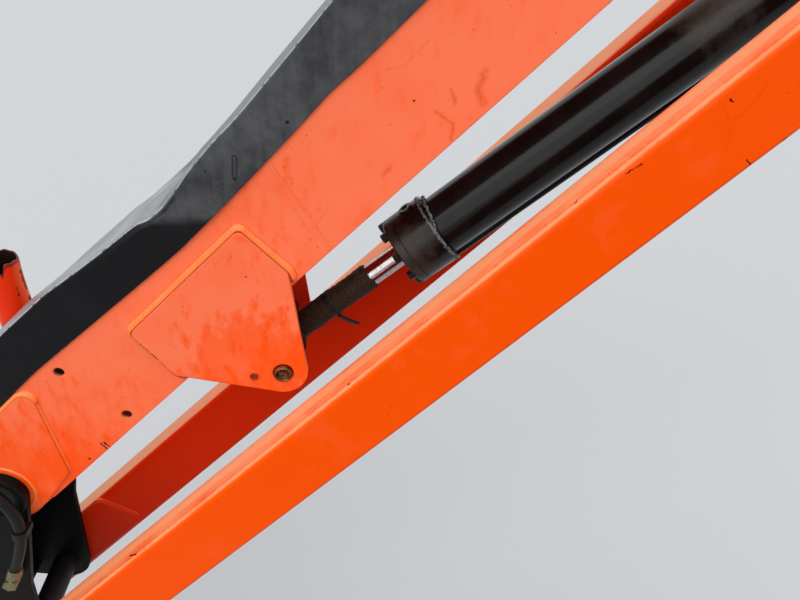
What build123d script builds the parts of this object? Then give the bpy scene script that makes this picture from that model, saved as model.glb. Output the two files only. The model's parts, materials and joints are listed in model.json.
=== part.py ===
from build123d import *
import os
from math import atan2, cos, degrees, hypot, radians, sin, tan

# Jib arm of a telescopic boom lift, as it hangs when the machine is parked: a box arm above, twin tube
# links below, a lift cylinder between them, the boom's bracket at the upper end and the platform's
# bracket with its rotator at the lower end.
# Millimetres. The origin is the centre of the boom pivot bore. X runs from the platform end towards the
# boom, Y across the jib away from its near side, and Z is up.

# Parallelogram, from pin centre to pin centre
JIB_LENGTH = 1829.0
LINK_DROP = 387.0
LINK_BACK = 75.0
JIB_SLOPE = 41.55
ARM_PIN_X = -190.0
ARM_PIN_Z = 215.0

# Clearances
PIN_RUNNING_GAP = 0.05
SEAT_GAP = 0.3
SIDE_GAP = 2.0

# Pins
ARM_PIN_R = 25.0
LINK_PIN_R = 22.0
PIN_HEAD_RIM = 6.0
PIN_HEAD_DEEP = 6.0
PIN_HEAD_CHAMFER = 1.5

# Box arm: heights are from the line through its two pins
ARM_WIDTH = 168.0
ARM_TOP = 85.4
ARM_BOTTOM = -62.6
ARM_WALL = 6.0
ARM_HUB_R = 62.0
ARM_PLATES_FROM = 74.0
ARM_TIP_NOSE = 37.0
ARM_TIP_LIFT = 18.5
ARM_TUBE_R = 48.0
SIGHT_HOLE_R = 7.0
# along the arm, height
SIGHT_HOLES = ((1592.6, 62.4), (1592.6, -42.6))

# Doublers on the arm's sides round each hub: a leaning outer edge, longer at the top than at the bottom
ARM_DOUBLER = 5.0
ARM_DOUBLER_TOP_REACH = 191.0
ARM_DOUBLER_LOW_REACH = 98.0
ARM_DOUBLER_TURN = 33.0
ARM_DOUBLER_TOP_MARGIN = 7.0
ARM_DOUBLER_LOW_MARGIN = 4.6
ARM_DOUBLER_RISE = 11.0
ARM_DOUBLER_CORNER_R = 13.0

# Gusset plates that carry the rod's pin
GUSSET_PLATE = 10.0
GUSSET_TOP = 36.4
GUSSET_FROM = 1269.6
GUSSET_TO = 1474.6
GUSSET_SHOULDER = -44.6
GUSSET_FLARE = 12.0
GUSSET_CORNER_R = 9.0
GUSSET_TIP_R = 33.0
ROD_PIN_U = 1384.6
ROD_PIN_V = -143.7
ROD_PIN_R = 14.0
ROD_PIN_RECESS = 2.5
ROD_BOLT_AF = 21.0
ROD_BOLT_HEAD = 6.5
GUSSET_DIMPLE_U = 32.0
GUSSET_DIMPLE_V = 23.0
GUSSET_DIMPLE_R = 5.0
GUSSET_DIMPLE_DEEP = 2.0

# Hose cover: a pressed channel over the arm, with its top line sagging where it is dented
COVER_SHEET = 3.0
COVER_BEND_R = 9.0
COVER_PAST_DOUBLER = 9.0
COVER_SHORT_OF_TIP = 77.0
# its skirts reach down over the arm's sides, and rise towards the tip to clear the doublers there
COVER_SKIRT = 14.4
COVER_SKIRT_TIP = 1.4
COVER_SKIRT_RISE = 190.0
COVER_SKIRT_CLEAR = 28.0
# distance before the tip pin, height of the top line
COVER_TOP_LINE = (
    (813.0, 138.0),
    (663.0, 130.0),
    (514.0, 111.0),
    (449.0, 122.0),
    (352.0, 135.0),
    (241.0, 146.0),
)
COVER_HEIGHT_BOOM_END = 141.0
COVER_HEIGHT_TIP_END = 146.0

# Twin links: rectangular tube, one each side, outside the arm
LINK_HEIGHT = 101.6
LINK_WIDTH = 50.8
LINK_WALL = 4.8
LINK_CORNER_R = 7.0
LINK_PAST_PIN = 66.0
LINK_CAP = 4.0
LINK_DRAIN_R = 6.0
LINK_BUSH_R = 31.0
LINK_DOUBLER = 5.0
LINK_DOUBLER_LENGTH = 185.0
LINK_DOUBLER_TOP_MARGIN = 2.0
LINK_DOUBLER_LOW_MARGIN = 10.0
LINK_DOUBLER_LEAN = 12.0
LINK_DOUBLER_CORNER_R = 14.0

# Plates of the brackets at both ends, between the arm and the links
PLATE_THICK = 10.0

# Boom bracket
BOOM_PIVOT_R = 25.4
BOOM_PIVOT_TUBE_R = 45.0
LEVEL_PIVOT_X = 0.0
LEVEL_PIVOT_Z = 222.0
LEVEL_PIVOT_R = 19.1
LEVEL_PIVOT_TUBE_R = 35.0
PIVOT_TUBE_PROUD = 4.0
BRACKET_EDGE = 28.0
BRACKET_LEVEL_EDGE = 14.0
BRACKET_WEB = 10.0
BRACKET_FLOOR_START = 58.0
BRACKET_FLOOR_DROP = 14.0

# Lift cylinder
BARREL_R = 42.0
BARREL_WALL = 6.0
BARREL_BASE = 60.0
BARREL_CAP = 25.0
BARREL_EYE_R = 40.0
BARREL_EYE_WIDTH = 54.0
GLAND_R = 51.0
GLAND_LENGTH = 62.0
GLAND_CHAMFER = 2.0
GLAND_SEAM = 14.0
GLAND_SEAM_DEEP = 1.2
GLAND_SEAL_R = 24.0
GLAND_SEAL_DEEP = 4.0
GLAND_BOLTS = 8
GLAND_BOLT_HEAD = 8.0
GLAND_BOLT_HEAD_AF = 12.0
GLAND_BOLT_IN = 7.0
PORT_R = 10.0
PORT_BORE_R = 5.0
PORT_PROUD = 2.0
PORT_FROM_FACE = 40.0
ROD_R = 16.0
ROD_SHOWING = 217.5
ROD_CLEAN = 56.5
ROD_CRUST_R = 19.0
ROD_EYE_R = 29.0
ROD_EYE_WIDTH = 50.0
ROD_SEAT = 16.0
ROD_INSIDE = 560.0
OIL_TUBE_R = 6.0
OIL_TUBE_START = 20.0

# Guide tube for the platform's hoses, on the far side of the arm's tip
GUIDE_TUBE_R = 28.0
GUIDE_TUBE_WALL = 3.0
GUIDE_TUBE_X = -8.0
GUIDE_TUBE_LOW = 58.0
GUIDE_TUBE_HIGH = 296.0
GUIDE_SADDLE = 30.0

# Hose on the near platform plate, from the tip pin, with a fitting at each end and a clip
HOSE_R = 8.0
HOSE_OFF = 17.0
HOSE_FITTING_R = 11.0
HOSE_FERRULE_R = 10.0
HOSE_FERRULE = 30.0
HOSE_CLIP_R = 11.0
HOSE_CLIP_LENGTH = 12.0
HOSE_CLIP_RUN = 1
# from the tip pin: towards the boom, up
HOSE_ROUTE = (
    (-6.6, -133.2),
    (17.0, -82.0),
    (29.0, -30.0),
    (17.0, 22.0),
    (-22.0, 52.0),
    (-72.0, 50.0),
    (-108.0, 15.0),
    (-120.0, -38.0),
)

# Platform bracket: its plates narrow to a waist between the two pins
LEVEL_HUB_R = 41.0
LEVEL_BOSS_WALL = 10.0
LEVEL_BOSS_PROUD = 6.0
LEVEL_BOSS_ROUND = 2.5
LEVEL_FOOT_R = 45.0
LEVEL_WAIST_R = 36.0
LEVEL_WAIST_X = -46.0
LEVEL_WAIST_Z = -195.0
LEVEL_FACE_X = 185.0
LEVEL_FACE_TOP = -20.0
LEVEL_FACE_BOTTOM = -400.0
LEVEL_FACE_STRIP = 4.0
LEVEL_WEB = 12.0
LEVEL_RIB = 10.0
LEVEL_RIB_REACH = 62.0
LEVEL_RIB_IN = 18.0
TIP_PIN_BORE_R = 13.0
TIP_PIN_BORE_DEEP = 24.0

# Rotator: a round housing with two feet on the bracket, and turning caps that carry the platform's mount
ROTATOR_R = 62.0
ROTATOR_FLANGE_R = 70.0
ROTATOR_FLANGE = 18.0
ROTATOR_HEIGHT = 230.0
ROTATOR_CHAMFER = 2.0
ROTATOR_FOOT = 16.0
ROTATOR_FOOT_WIDTH = 150.0
ROTATOR_FOOT_HEIGHT = 54.0
ROTATOR_FOOT_OFF = 62.0
ROTATOR_STANDOFF = 92.0
ROTATOR_CAP_GAP = 0.3
ROTATOR_CAP_R = 60.0
ROTATOR_CAP = 18.0
MOUNT_PLATE = 16.0
MOUNT_PLATE_WIDTH = 160.0
MOUNT_PLATE_CORNER_R = 12.0
MOUNT_NECK_WIDTH = 140.0
MOUNT_REACH = 112.0
MOUNT_BOLT_R = 8.0
MOUNT_BOLT_ACROSS = 110.0
MOUNT_BOLT_UP = 180.0

# Worked out from the sizes above
slope = radians(JIB_SLOPE)
along = (-cos(slope), -sin(slope))
above = (-sin(slope), cos(slope))
arm_half = ARM_WIDTH / 2
doubler_face = arm_half + ARM_DOUBLER
gusset_face = arm_half + GUSSET_PLATE
plate_inner = doubler_face + SIDE_GAP
plate_outer = plate_inner + PLATE_THICK
link_doubler_face = plate_outer + SIDE_GAP
link_inner_face = link_doubler_face + LINK_DOUBLER
link_outer = link_inner_face + LINK_WIDTH
link_pin_x = ARM_PIN_X - LINK_BACK
link_pin_z = ARM_PIN_Z - LINK_DROP
tip_x = ARM_PIN_X + JIB_LENGTH * along[0]
tip_z = ARM_PIN_Z + JIB_LENGTH * along[1]
tip_link_x = tip_x - LINK_BACK
tip_link_z = tip_z - LINK_DROP
rod_pin_x = ARM_PIN_X + ROD_PIN_U * along[0] + ROD_PIN_V * above[0]
rod_pin_z = ARM_PIN_Z + ROD_PIN_U * along[1] + ROD_PIN_V * above[1]
cylinder_length = hypot(rod_pin_x - link_pin_x, rod_pin_z - link_pin_z)
cylinder_dir = ((rod_pin_x - link_pin_x) / cylinder_length, (rod_pin_z - link_pin_z) / cylinder_length)
gland_face = cylinder_length - ROD_SHOWING
barrel_end = gland_face - GLAND_LENGTH
level_face_x = tip_x - LEVEL_FACE_X
level_mid_z = tip_z + (LEVEL_FACE_TOP + LEVEL_FACE_BOTTOM) / 2


def arm_plane(y=0.0):
    """Side view of the arm: x from the arm pin to the tip pin, y up from the line of the pins."""
    return Plane(origin=(ARM_PIN_X, y, ARM_PIN_Z), x_dir=(along[0], 0, along[1]), z_dir=(0, 1, 0))


def link_plane(y=0.0):
    """Side view of a link, the same way, from the link pin."""
    return Plane(origin=(link_pin_x, y, link_pin_z), x_dir=(along[0], 0, along[1]), z_dir=(0, 1, 0))


def cylinder_side(y=0.0):
    """Side view of the lift cylinder: x from its base pin to the rod's pin."""
    return Plane(
        origin=(link_pin_x, y, link_pin_z), x_dir=(cylinder_dir[0], 0, cylinder_dir[1]), z_dir=(0, 1, 0)
    )


def cylinder_plane(distance):
    """Square to the lift cylinder, this far from its base pin, facing its rod."""
    x = link_pin_x + distance * cylinder_dir[0]
    z = link_pin_z + distance * cylinder_dir[1]
    return Plane(origin=(x, 0, z), x_dir=(0, 1, 0), z_dir=(cylinder_dir[0], 0, cylinder_dir[1]))


def bracket_plane(x, z):
    """Side view that faces the near side, with x to the boom and y up, taken from -y outward."""
    return lambda y: Plane(origin=(x, -y, z), x_dir=(1, 0, 0), z_dir=(0, -1, 0))


def face(points):
    return make_face(Polyline(*points, close=True))


def rounded(outline, radius, *corners):
    """The outline with the corners nearest to these points rounded."""
    chosen = [min(outline.vertices(), key=lambda v: hypot(v.X - x, v.Y - y)) for x, y in corners]
    return fillet(chosen, radius)


def hull(*outlines):
    edges = ShapeList()
    for outline in outlines:
        edges += outline.edges()
    return make_hull(edges)


def slab(plane, outline, low, high):
    """The outline as a plate across the jib, from depth low to depth high along the plane's normal."""
    return extrude(plane(low) * outline, high - low)


def cross_round(x, z, radius, low, high):
    """A round bar across the jib, from low to high along Y."""
    return extrude(Plane(origin=(x, low, z), x_dir=(1, 0, 0), z_dir=(0, 1, 0)) * Circle(radius), high - low)


def turned(outline, plane):
    """The outline, with x along the plane's normal and y outward, turned round that normal."""
    solid = revolve(Plane.XY * outline, Axis.X)
    return Plane(origin=plane.origin, x_dir=plane.z_dir, z_dir=plane.x_dir).location * solid


def other_side(shape):
    return mirror(shape, about=Plane.XZ)


def both_sides(shape):
    return Compound(children=list(shape.solids()) + list(other_side(shape).solids()))


def along_cylinder(radius, start, end):
    return extrude(cylinder_plane(start) * Circle(radius), end - start)


parts = {}

# Box arm: two side plates, a top and a bottom plate, welded. The side plates run round the hubs.
side_outline = face(
    (
        (0.0, ARM_HUB_R),
        (ARM_PLATES_FROM, ARM_TOP),
        (JIB_LENGTH - ARM_PLATES_FROM, ARM_TOP),
        (JIB_LENGTH, ARM_HUB_R),
        (JIB_LENGTH, ARM_BOTTOM + ARM_TIP_LIFT),
        (JIB_LENGTH - ARM_TIP_NOSE, ARM_BOTTOM),
        (0.0, ARM_BOTTOM),
    )
)
side_outline = side_outline + Circle(ARM_HUB_R) + Pos(JIB_LENGTH, 0) * Circle(ARM_HUB_R)
hollow_outline = Pos(JIB_LENGTH / 2, (ARM_TOP + ARM_BOTTOM) / 2) * Rectangle(
    JIB_LENGTH + 4 * ARM_HUB_R, ARM_TOP - ARM_BOTTOM - 2 * ARM_WALL
)
# between the side plates there is no top or bottom plate round the hubs
open_end = Rectangle(2 * (ARM_PLATES_FROM + ARM_HUB_R), 2 * (ARM_TOP - ARM_BOTTOM))
open_ends = Pos(-ARM_HUB_R, 0) * open_end + Pos(JIB_LENGTH + ARM_HUB_R, 0) * open_end
inner_half = arm_half - ARM_WALL
arm_box = slab(arm_plane, side_outline, -arm_half, arm_half)
arm_box -= slab(arm_plane, hollow_outline + open_ends, -inner_half, inner_half)
for end_x, end_z in ((ARM_PIN_X, ARM_PIN_Z), (tip_x, tip_z)):
    arm_box -= cross_round(end_x, end_z, ARM_TUBE_R, -ARM_WIDTH, ARM_WIDTH)
for u, v in SIGHT_HOLES:
    arm_box -= slab(arm_plane, Pos(u, v) * Circle(SIGHT_HOLE_R), -ARM_WIDTH, ARM_WIDTH)
parts["arm_box"] = arm_box

for name, end_x, end_z in (("arm_base_tube", ARM_PIN_X, ARM_PIN_Z), ("arm_tip_tube", tip_x, tip_z)):
    tube = cross_round(end_x, end_z, ARM_TUBE_R, -doubler_face, doubler_face)
    tube -= cross_round(end_x, end_z, ARM_PIN_R + PIN_RUNNING_GAP, -ARM_WIDTH, ARM_WIDTH)
    parts[name] = tube

doubler_top = ARM_TOP - ARM_DOUBLER_TOP_MARGIN
doubler_low = ARM_BOTTOM + ARM_DOUBLER_LOW_MARGIN
for name, pin_u, toward in (("arm_base_doublers", 0.0, 1), ("arm_tip_doublers", JIB_LENGTH, -1)):
    top_corner = (pin_u + toward * ARM_DOUBLER_TOP_REACH, doubler_top)
    low_corner = (pin_u + toward * ARM_DOUBLER_LOW_REACH, doubler_low + ARM_DOUBLER_RISE)
    outline = face(
        (
            (pin_u, doubler_low),
            (pin_u + toward * ARM_DOUBLER_TURN, doubler_low),
            low_corner,
            top_corner,
            (pin_u + toward * ARM_PLATES_FROM, doubler_top),
            (pin_u, ARM_HUB_R - ARM_DOUBLER_LOW_MARGIN),
        )
    )
    outline = rounded(outline, ARM_DOUBLER_CORNER_R, top_corner, low_corner)
    outline = outline + Pos(pin_u, 0) * Circle(ARM_HUB_R - ARM_DOUBLER_LOW_MARGIN)
    outline = outline - Pos(pin_u, 0) * Circle(ARM_TUBE_R)
    parts[name] = both_sides(slab(arm_plane, outline, arm_half, doubler_face))

# Gussets: a plate with a shoulder on the arm's side, drawn down to a round end about the rod's pin
gusset_corners = (
    (GUSSET_FROM, GUSSET_TOP),
    (GUSSET_TO, GUSSET_TOP),
    (GUSSET_TO + GUSSET_FLARE, GUSSET_SHOULDER),
    (GUSSET_FROM, GUSSET_SHOULDER),
)
gusset_outline = hull(face(gusset_corners), Pos(ROD_PIN_U, ROD_PIN_V) * Circle(GUSSET_TIP_R))
gusset_outline = rounded(gusset_outline, GUSSET_CORNER_R, *gusset_corners)
gusset_outline -= Pos(ROD_PIN_U, ROD_PIN_V) * Circle(ROD_PIN_R)
gusset = slab(arm_plane, gusset_outline, arm_half, gusset_face)
dimple_at = Pos(ROD_PIN_U + GUSSET_DIMPLE_U, ROD_PIN_V + GUSSET_DIMPLE_V)
dimple_floor = gusset_face - GUSSET_DIMPLE_DEEP
gusset -= slab(arm_plane, dimple_at * Circle(GUSSET_DIMPLE_R), dimple_floor, gusset_face + GUSSET_PLATE)
parts["gusset_far"] = gusset
parts["gusset_near"] = other_side(gusset)

# The rod's pin, in two lengths, each held by a bolt whose head shows in the gusset's bore
stub_inner = ROD_EYE_WIDTH / 2 + SEAT_GAP
stub_outer = gusset_face - ROD_PIN_RECESS
stub = cross_round(rod_pin_x, rod_pin_z, ROD_PIN_R, stub_inner, stub_outer)
bolt_plane = Plane(origin=(rod_pin_x, stub_outer, rod_pin_z), x_dir=(1, 0, 0), z_dir=(0, 1, 0))
stub += extrude(bolt_plane * RegularPolygon(ROD_BOLT_AF / 2, 6, major_radius=False), ROD_BOLT_HEAD)
parts["rod_pin_stubs"] = both_sides(stub)

# Hose cover: an open-ended channel, its bends rounded, one sheet thickness inside the other
cover_from = ARM_DOUBLER_TOP_REACH + COVER_PAST_DOUBLER
cover_to = JIB_LENGTH - COVER_SHORT_OF_TIP
cover_line = [(cover_from, COVER_HEIGHT_BOOM_END)]
cover_line += [(JIB_LENGTH - before_tip, height) for before_tip, height in COVER_TOP_LINE]
cover_line += [(cover_to, COVER_HEIGHT_TIP_END)]
skirt_risen = JIB_LENGTH - ARM_DOUBLER_TOP_REACH - COVER_SKIRT_CLEAR
skirt_line = [
    (cover_to, ARM_TOP - COVER_SKIRT_TIP),
    (skirt_risen, ARM_TOP - COVER_SKIRT_TIP),
    (skirt_risen - COVER_SKIRT_RISE, ARM_TOP - COVER_SKIRT),
    (cover_from, ARM_TOP - COVER_SKIRT),
]
cover_inner = arm_half + SEAT_GAP
cover_outer = cover_inner + COVER_SHEET


def channel(half_width, drop, past_ends, bend):
    """The space between the cover's top line and its skirts' edge, both lowered by drop, as a solid with its
    long top edges rounded."""
    line = [(u, v - drop) for u, v in cover_line]
    low_line = [(u, v - drop) for u, v in skirt_line]
    start, end = cover_from - past_ends, cover_to + past_ends
    line[0] = (start, line[0][1])
    line[-1] = (end, line[-1][1])
    low_line[0] = (end, low_line[0][1])
    low_line[-1] = (start, low_line[-1][1])
    solid = slab(arm_plane, face(line + low_line), -half_width, half_width)
    ridge = []
    for edge in solid.edges():
        middle = arm_plane().to_local_coords(edge.center())
        on_side = abs(abs(middle.Z) - half_width) < SEAT_GAP / 2
        from_ends = min(middle.X - start, end - middle.X)
        if on_side and middle.Y > ARM_TOP and from_ends > COVER_SHEET:
            ridge.append(edge)
    return fillet(ridge, bend)


hose_cover = channel(cover_outer, 0.0, 0.0, COVER_BEND_R)
hose_cover -= channel(cover_inner, COVER_SHEET, COVER_SHEET, COVER_BEND_R - COVER_SHEET)
parts["hose_cover"] = hose_cover

# Links: rectangular tubes, capped at both ends with a drain hole in each cap
link_start = -LINK_PAST_PIN
link_end = JIB_LENGTH + LINK_PAST_PIN
link_centre_y = link_inner_face + LINK_WIDTH / 2


def link_section(distance):
    """Square to a link, this far from its base pin, facing its tip."""
    x = link_pin_x + distance * along[0]
    z = link_pin_z + distance * along[1]
    return Plane(origin=(x, link_centre_y, z), x_dir=(0, 1, 0), z_dir=(along[0], 0, along[1]))


outer_section = RectangleRounded(LINK_WIDTH, LINK_HEIGHT, LINK_CORNER_R)
hollow_section = RectangleRounded(
    LINK_WIDTH - 2 * LINK_WALL, LINK_HEIGHT - 2 * LINK_WALL, LINK_CORNER_R - LINK_WALL
)
link_length = link_end - link_start
link_tube = extrude(link_section(link_start) * outer_section, link_length)
link_tube -= extrude(link_section(link_start + LINK_CAP) * hollow_section, link_length - 2 * LINK_CAP)
link_tube -= extrude(link_section(link_start) * Circle(LINK_DRAIN_R), link_length)
link_ends = ((link_pin_x, link_pin_z), (tip_link_x, tip_link_z))
for end_x, end_z in link_ends:
    link_tube -= cross_round(end_x, end_z, LINK_BUSH_R, 0, 2 * link_outer)
parts["link_far"] = link_tube
parts["link_near"] = other_side(link_tube)

for name, (end_x, end_z) in (("link_base_bushes", link_ends[0]), ("link_tip_bushes", link_ends[1])):
    bush = cross_round(end_x, end_z, LINK_BUSH_R, link_doubler_face, link_outer)
    bush -= cross_round(end_x, end_z, LINK_PIN_R + PIN_RUNNING_GAP, 0, 2 * link_outer)
    parts[name] = both_sides(bush)

link_half = LINK_HEIGHT / 2
for name, pin_u, toward in (("link_base_doublers", 0.0, 1), ("link_tip_doublers", JIB_LENGTH, -1)):
    back = pin_u - toward * LINK_PAST_PIN
    top_v = link_half - LINK_DOUBLER_TOP_MARGIN
    low_v = -link_half + LINK_DOUBLER_LOW_MARGIN
    top_corner = (pin_u + toward * (LINK_DOUBLER_LENGTH - LINK_DOUBLER_LEAN), top_v)
    low_corner = (pin_u + toward * LINK_DOUBLER_LENGTH, low_v)
    outline = face(((back, top_v), top_corner, low_corner, (back, low_v)))
    outline = rounded(outline, LINK_DOUBLER_CORNER_R, top_corner, low_corner)
    outline -= Pos(pin_u, 0) * Circle(LINK_BUSH_R)
    parts[name] = both_sides(slab(link_plane, outline, link_doubler_face, link_inner_face))

# Boom bracket: two plates, the tubes of its two pivots, an upright web between them and a sloping floor
bracket_outline = hull(
    Pos(ARM_PIN_X, ARM_PIN_Z) * Circle(ARM_PIN_R + BRACKET_EDGE),
    Pos(link_pin_x, link_pin_z) * Circle(LINK_PIN_R + BRACKET_EDGE),
    Circle(BOOM_PIVOT_TUBE_R + BRACKET_EDGE),
    Pos(LEVEL_PIVOT_X, LEVEL_PIVOT_Z) * Circle(LEVEL_PIVOT_TUBE_R + BRACKET_LEVEL_EDGE),
)
for x, z, radius in (
    (ARM_PIN_X, ARM_PIN_Z, ARM_PIN_R),
    (link_pin_x, link_pin_z, LINK_PIN_R),
    (0.0, 0.0, BOOM_PIVOT_TUBE_R),
    (LEVEL_PIVOT_X, LEVEL_PIVOT_Z, LEVEL_PIVOT_TUBE_R),
):
    bracket_outline -= Pos(x, z) * Circle(radius)
bracket_plate = slab(bracket_plane(0, 0), bracket_outline, plate_inner, plate_outer)
parts["bracket_plate_near"] = bracket_plate
parts["bracket_plate_far"] = other_side(bracket_plate)

pivot_end = plate_outer + PIVOT_TUBE_PROUD
for name, x, z, outer, bore in (
    ("boom_pivot_tube", 0.0, 0.0, BOOM_PIVOT_TUBE_R, BOOM_PIVOT_R),
    ("level_pivot_tube", LEVEL_PIVOT_X, LEVEL_PIVOT_Z, LEVEL_PIVOT_TUBE_R, LEVEL_PIVOT_R),
):
    tube = cross_round(x, z, outer, -pivot_end, pivot_end)
    parts[name] = tube - cross_round(x, z, bore, -2 * pivot_end, 2 * pivot_end)

web_low = BOOM_PIVOT_TUBE_R
web_high = LEVEL_PIVOT_Z - LEVEL_PIVOT_TUBE_R
web_box = Pos(0, 0, (web_low + web_high) / 2) * Box(BRACKET_WEB, 2 * plate_inner, web_high - web_low)
for x, z, radius in ((0.0, 0.0, BOOM_PIVOT_TUBE_R), (LEVEL_PIVOT_X, LEVEL_PIVOT_Z, LEVEL_PIVOT_TUBE_R)):
    web_box -= cross_round(x, z, radius + SEAT_GAP, -2 * pivot_end, 2 * pivot_end)
parts["bracket_web"] = web_box

# the floor runs below the line from the link pin to the boom pivot
floor_length = hypot(link_pin_x, link_pin_z)
floor_plane = Plane(origin=(link_pin_x, 0, link_pin_z), x_dir=(-link_pin_x, 0, -link_pin_z), z_dir=(0, 1, 0))
floor_low = -BRACKET_FLOOR_DROP - BRACKET_WEB
floor_outline = face(
    (
        (BRACKET_FLOOR_START, -BRACKET_FLOOR_DROP),
        (floor_length, -BRACKET_FLOOR_DROP),
        (floor_length, floor_low),
        (BRACKET_FLOOR_START, floor_low),
    )
)
bracket_floor = extrude(floor_plane * floor_outline, plate_inner, both=True)
bracket_floor -= cross_round(0, 0, BOOM_PIVOT_TUBE_R + SEAT_GAP, -2 * pivot_end, 2 * pivot_end)
parts["bracket_floor"] = bracket_floor

# Pins at the boom end and at the link's ends, with a chamfered head each side
for name, x, z, radius, reach in (
    ("arm_pin", ARM_PIN_X, ARM_PIN_Z, ARM_PIN_R, plate_outer),
    ("link_pin", link_pin_x, link_pin_z, LINK_PIN_R, link_outer),
    ("tip_link_pin", tip_link_x, tip_link_z, LINK_PIN_R, link_outer),
):
    head_start = reach + SEAT_GAP
    head_r = radius + PIN_HEAD_RIM
    head_end = head_start + PIN_HEAD_DEEP
    half_profile = face(
        (
            (0.0, 0.0),
            (0.0, radius),
            (head_start, radius),
            (head_start, head_r),
            (head_end - PIN_HEAD_CHAMFER, head_r),
            (head_end, head_r - PIN_HEAD_CHAMFER),
            (head_end, 0.0),
        )
    )
    half_pin = turned(half_profile, Plane(origin=(x, 0, z), x_dir=(1, 0, 0), z_dir=(0, 1, 0)))
    parts[name] = half_pin + other_side(half_pin)

# The pin at the arm's tip has no heads: it ends in the bosses of the platform bracket, bored at both ends
tip_pin = cross_round(tip_x, tip_z, ARM_PIN_R, -plate_outer, plate_outer)
bore = cross_round(tip_x, tip_z, TIP_PIN_BORE_R, plate_outer - TIP_PIN_BORE_DEEP, 2 * plate_outer)
parts["tip_pin"] = tip_pin - bore - other_side(bore)

# Lift cylinder: barrel, base eye, gland with its bolts, oil tube
barrel = along_cylinder(BARREL_R, BARREL_BASE, barrel_end)
barrel -= along_cylinder(BARREL_R - BARREL_WALL, BARREL_BASE + BARREL_CAP, barrel_end)
parts["barrel"] = barrel

# the eye: tangents from its round end to the barrel's full width, rounded off by the barrel's own radius
eye_outline = hull(Circle(BARREL_EYE_R), Pos(BARREL_BASE, 0) * Rectangle(BARREL_WALL, 2 * BARREL_R))
eye = slab(cylinder_side, eye_outline, -BARREL_EYE_WIDTH / 2, BARREL_EYE_WIDTH / 2)
eye &= along_cylinder(BARREL_R, -2 * BARREL_EYE_R, BARREL_BASE)
eye -= cross_round(link_pin_x, link_pin_z, LINK_PIN_R + PIN_RUNNING_GAP, -ARM_WIDTH, ARM_WIDTH)
parts["barrel_eye"] = eye

seam_at = GLAND_LENGTH - GLAND_SEAM
gland_profile = face(
    (
        (0.0, ROD_R + PIN_RUNNING_GAP),
        (0.0, GLAND_R),
        (seam_at, GLAND_R),
        (seam_at, GLAND_R - GLAND_SEAM_DEEP),
        (seam_at + GLAND_SEAM_DEEP, GLAND_R - GLAND_SEAM_DEEP),
        (seam_at + GLAND_SEAM_DEEP, GLAND_R),
        (GLAND_LENGTH - GLAND_CHAMFER, GLAND_R),
        (GLAND_LENGTH, GLAND_R - GLAND_CHAMFER),
        (GLAND_LENGTH, GLAND_SEAL_R),
        (GLAND_LENGTH - GLAND_SEAL_DEEP, GLAND_SEAL_R),
        (GLAND_LENGTH - GLAND_SEAL_DEEP, ROD_R + PIN_RUNNING_GAP),
    )
)
gland = turned(gland_profile, cylinder_plane(barrel_end))
# the port is on top; this plane's own y points down
port_at = cylinder_plane(gland_face - PORT_FROM_FACE).location * Pos(0, -GLAND_R, 0) * Rot(-90, 0, 0)
gland += port_at * Cylinder(PORT_R, 2 * PORT_PROUD)
gland -= port_at * Cylinder(PORT_BORE_R, 4 * PORT_R)
parts["gland"] = gland

bolt = extrude(RegularPolygon(GLAND_BOLT_HEAD_AF / 2, 6, major_radius=False), GLAND_BOLT_HEAD)
bolt_circle = PolarLocations(GLAND_R - GLAND_BOLT_IN, GLAND_BOLTS, start_angle=180 / GLAND_BOLTS)
parts["gland_bolts"] = Compound(
    children=[cylinder_plane(gland_face).location * place * bolt for place in bolt_circle]
)

oil_tube_start = BARREL_BASE + OIL_TUBE_START
oil_tube_off = BARREL_R + OIL_TUBE_R + SEAT_GAP
oil_tube = cylinder_plane(oil_tube_start) * (Pos(0, oil_tube_off) * Circle(OIL_TUBE_R))
parts["oil_tube"] = extrude(oil_tube, barrel_end - oil_tube_start)

# Rod: clean part, part with dried dirt on it, and the eye
eye_start = cylinder_length - ROD_SEAT
crust_from = gland_face + ROD_CLEAN
crust = along_cylinder(ROD_CRUST_R, crust_from, eye_start)
crust -= along_cylinder(ROD_R, gland_face, cylinder_length)
parts["rod"] = along_cylinder(ROD_R, gland_face - ROD_INSIDE, eye_start)
parts["rod_sleeve"] = crust
rod_eye = cross_round(rod_pin_x, rod_pin_z, ROD_EYE_R, -ROD_EYE_WIDTH / 2, ROD_EYE_WIDTH / 2)
parts["rod_eye"] = rod_eye - along_cylinder(ROD_CRUST_R, gland_face, eye_start)

# Platform bracket: hub, waist, foot and the upright face in one outline, a boss ring round the tip pin
waist = Pos(LEVEL_WAIST_X, LEVEL_WAIST_Z) * Circle(LEVEL_WAIST_R)
face_strip = face(
    (
        (-LEVEL_FACE_X, LEVEL_FACE_TOP),
        (-LEVEL_FACE_X + LEVEL_FACE_STRIP, LEVEL_FACE_TOP),
        (-LEVEL_FACE_X + LEVEL_FACE_STRIP, LEVEL_FACE_BOTTOM),
        (-LEVEL_FACE_X, LEVEL_FACE_BOTTOM),
    )
)
upper_outline = hull(Circle(LEVEL_HUB_R), waist, face_strip)
lower_outline = hull(waist, Pos(-LINK_BACK, -LINK_DROP) * Circle(LEVEL_FOOT_R), face_strip)
level_outline = upper_outline + lower_outline
level_outline -= Circle(ARM_PIN_R)
level_outline -= Pos(-LINK_BACK, -LINK_DROP) * Circle(LINK_PIN_R)
level_plate = slab(bracket_plane(tip_x, tip_z), level_outline, plate_inner, plate_outer)
boss_end = plate_outer + LEVEL_BOSS_PROUD
boss_profile = face(
    (
        (plate_outer, LEVEL_HUB_R - LEVEL_BOSS_WALL),
        (plate_outer, LEVEL_HUB_R),
        (boss_end, LEVEL_HUB_R),
        (boss_end, LEVEL_HUB_R - LEVEL_BOSS_WALL),
    )
)
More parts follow.
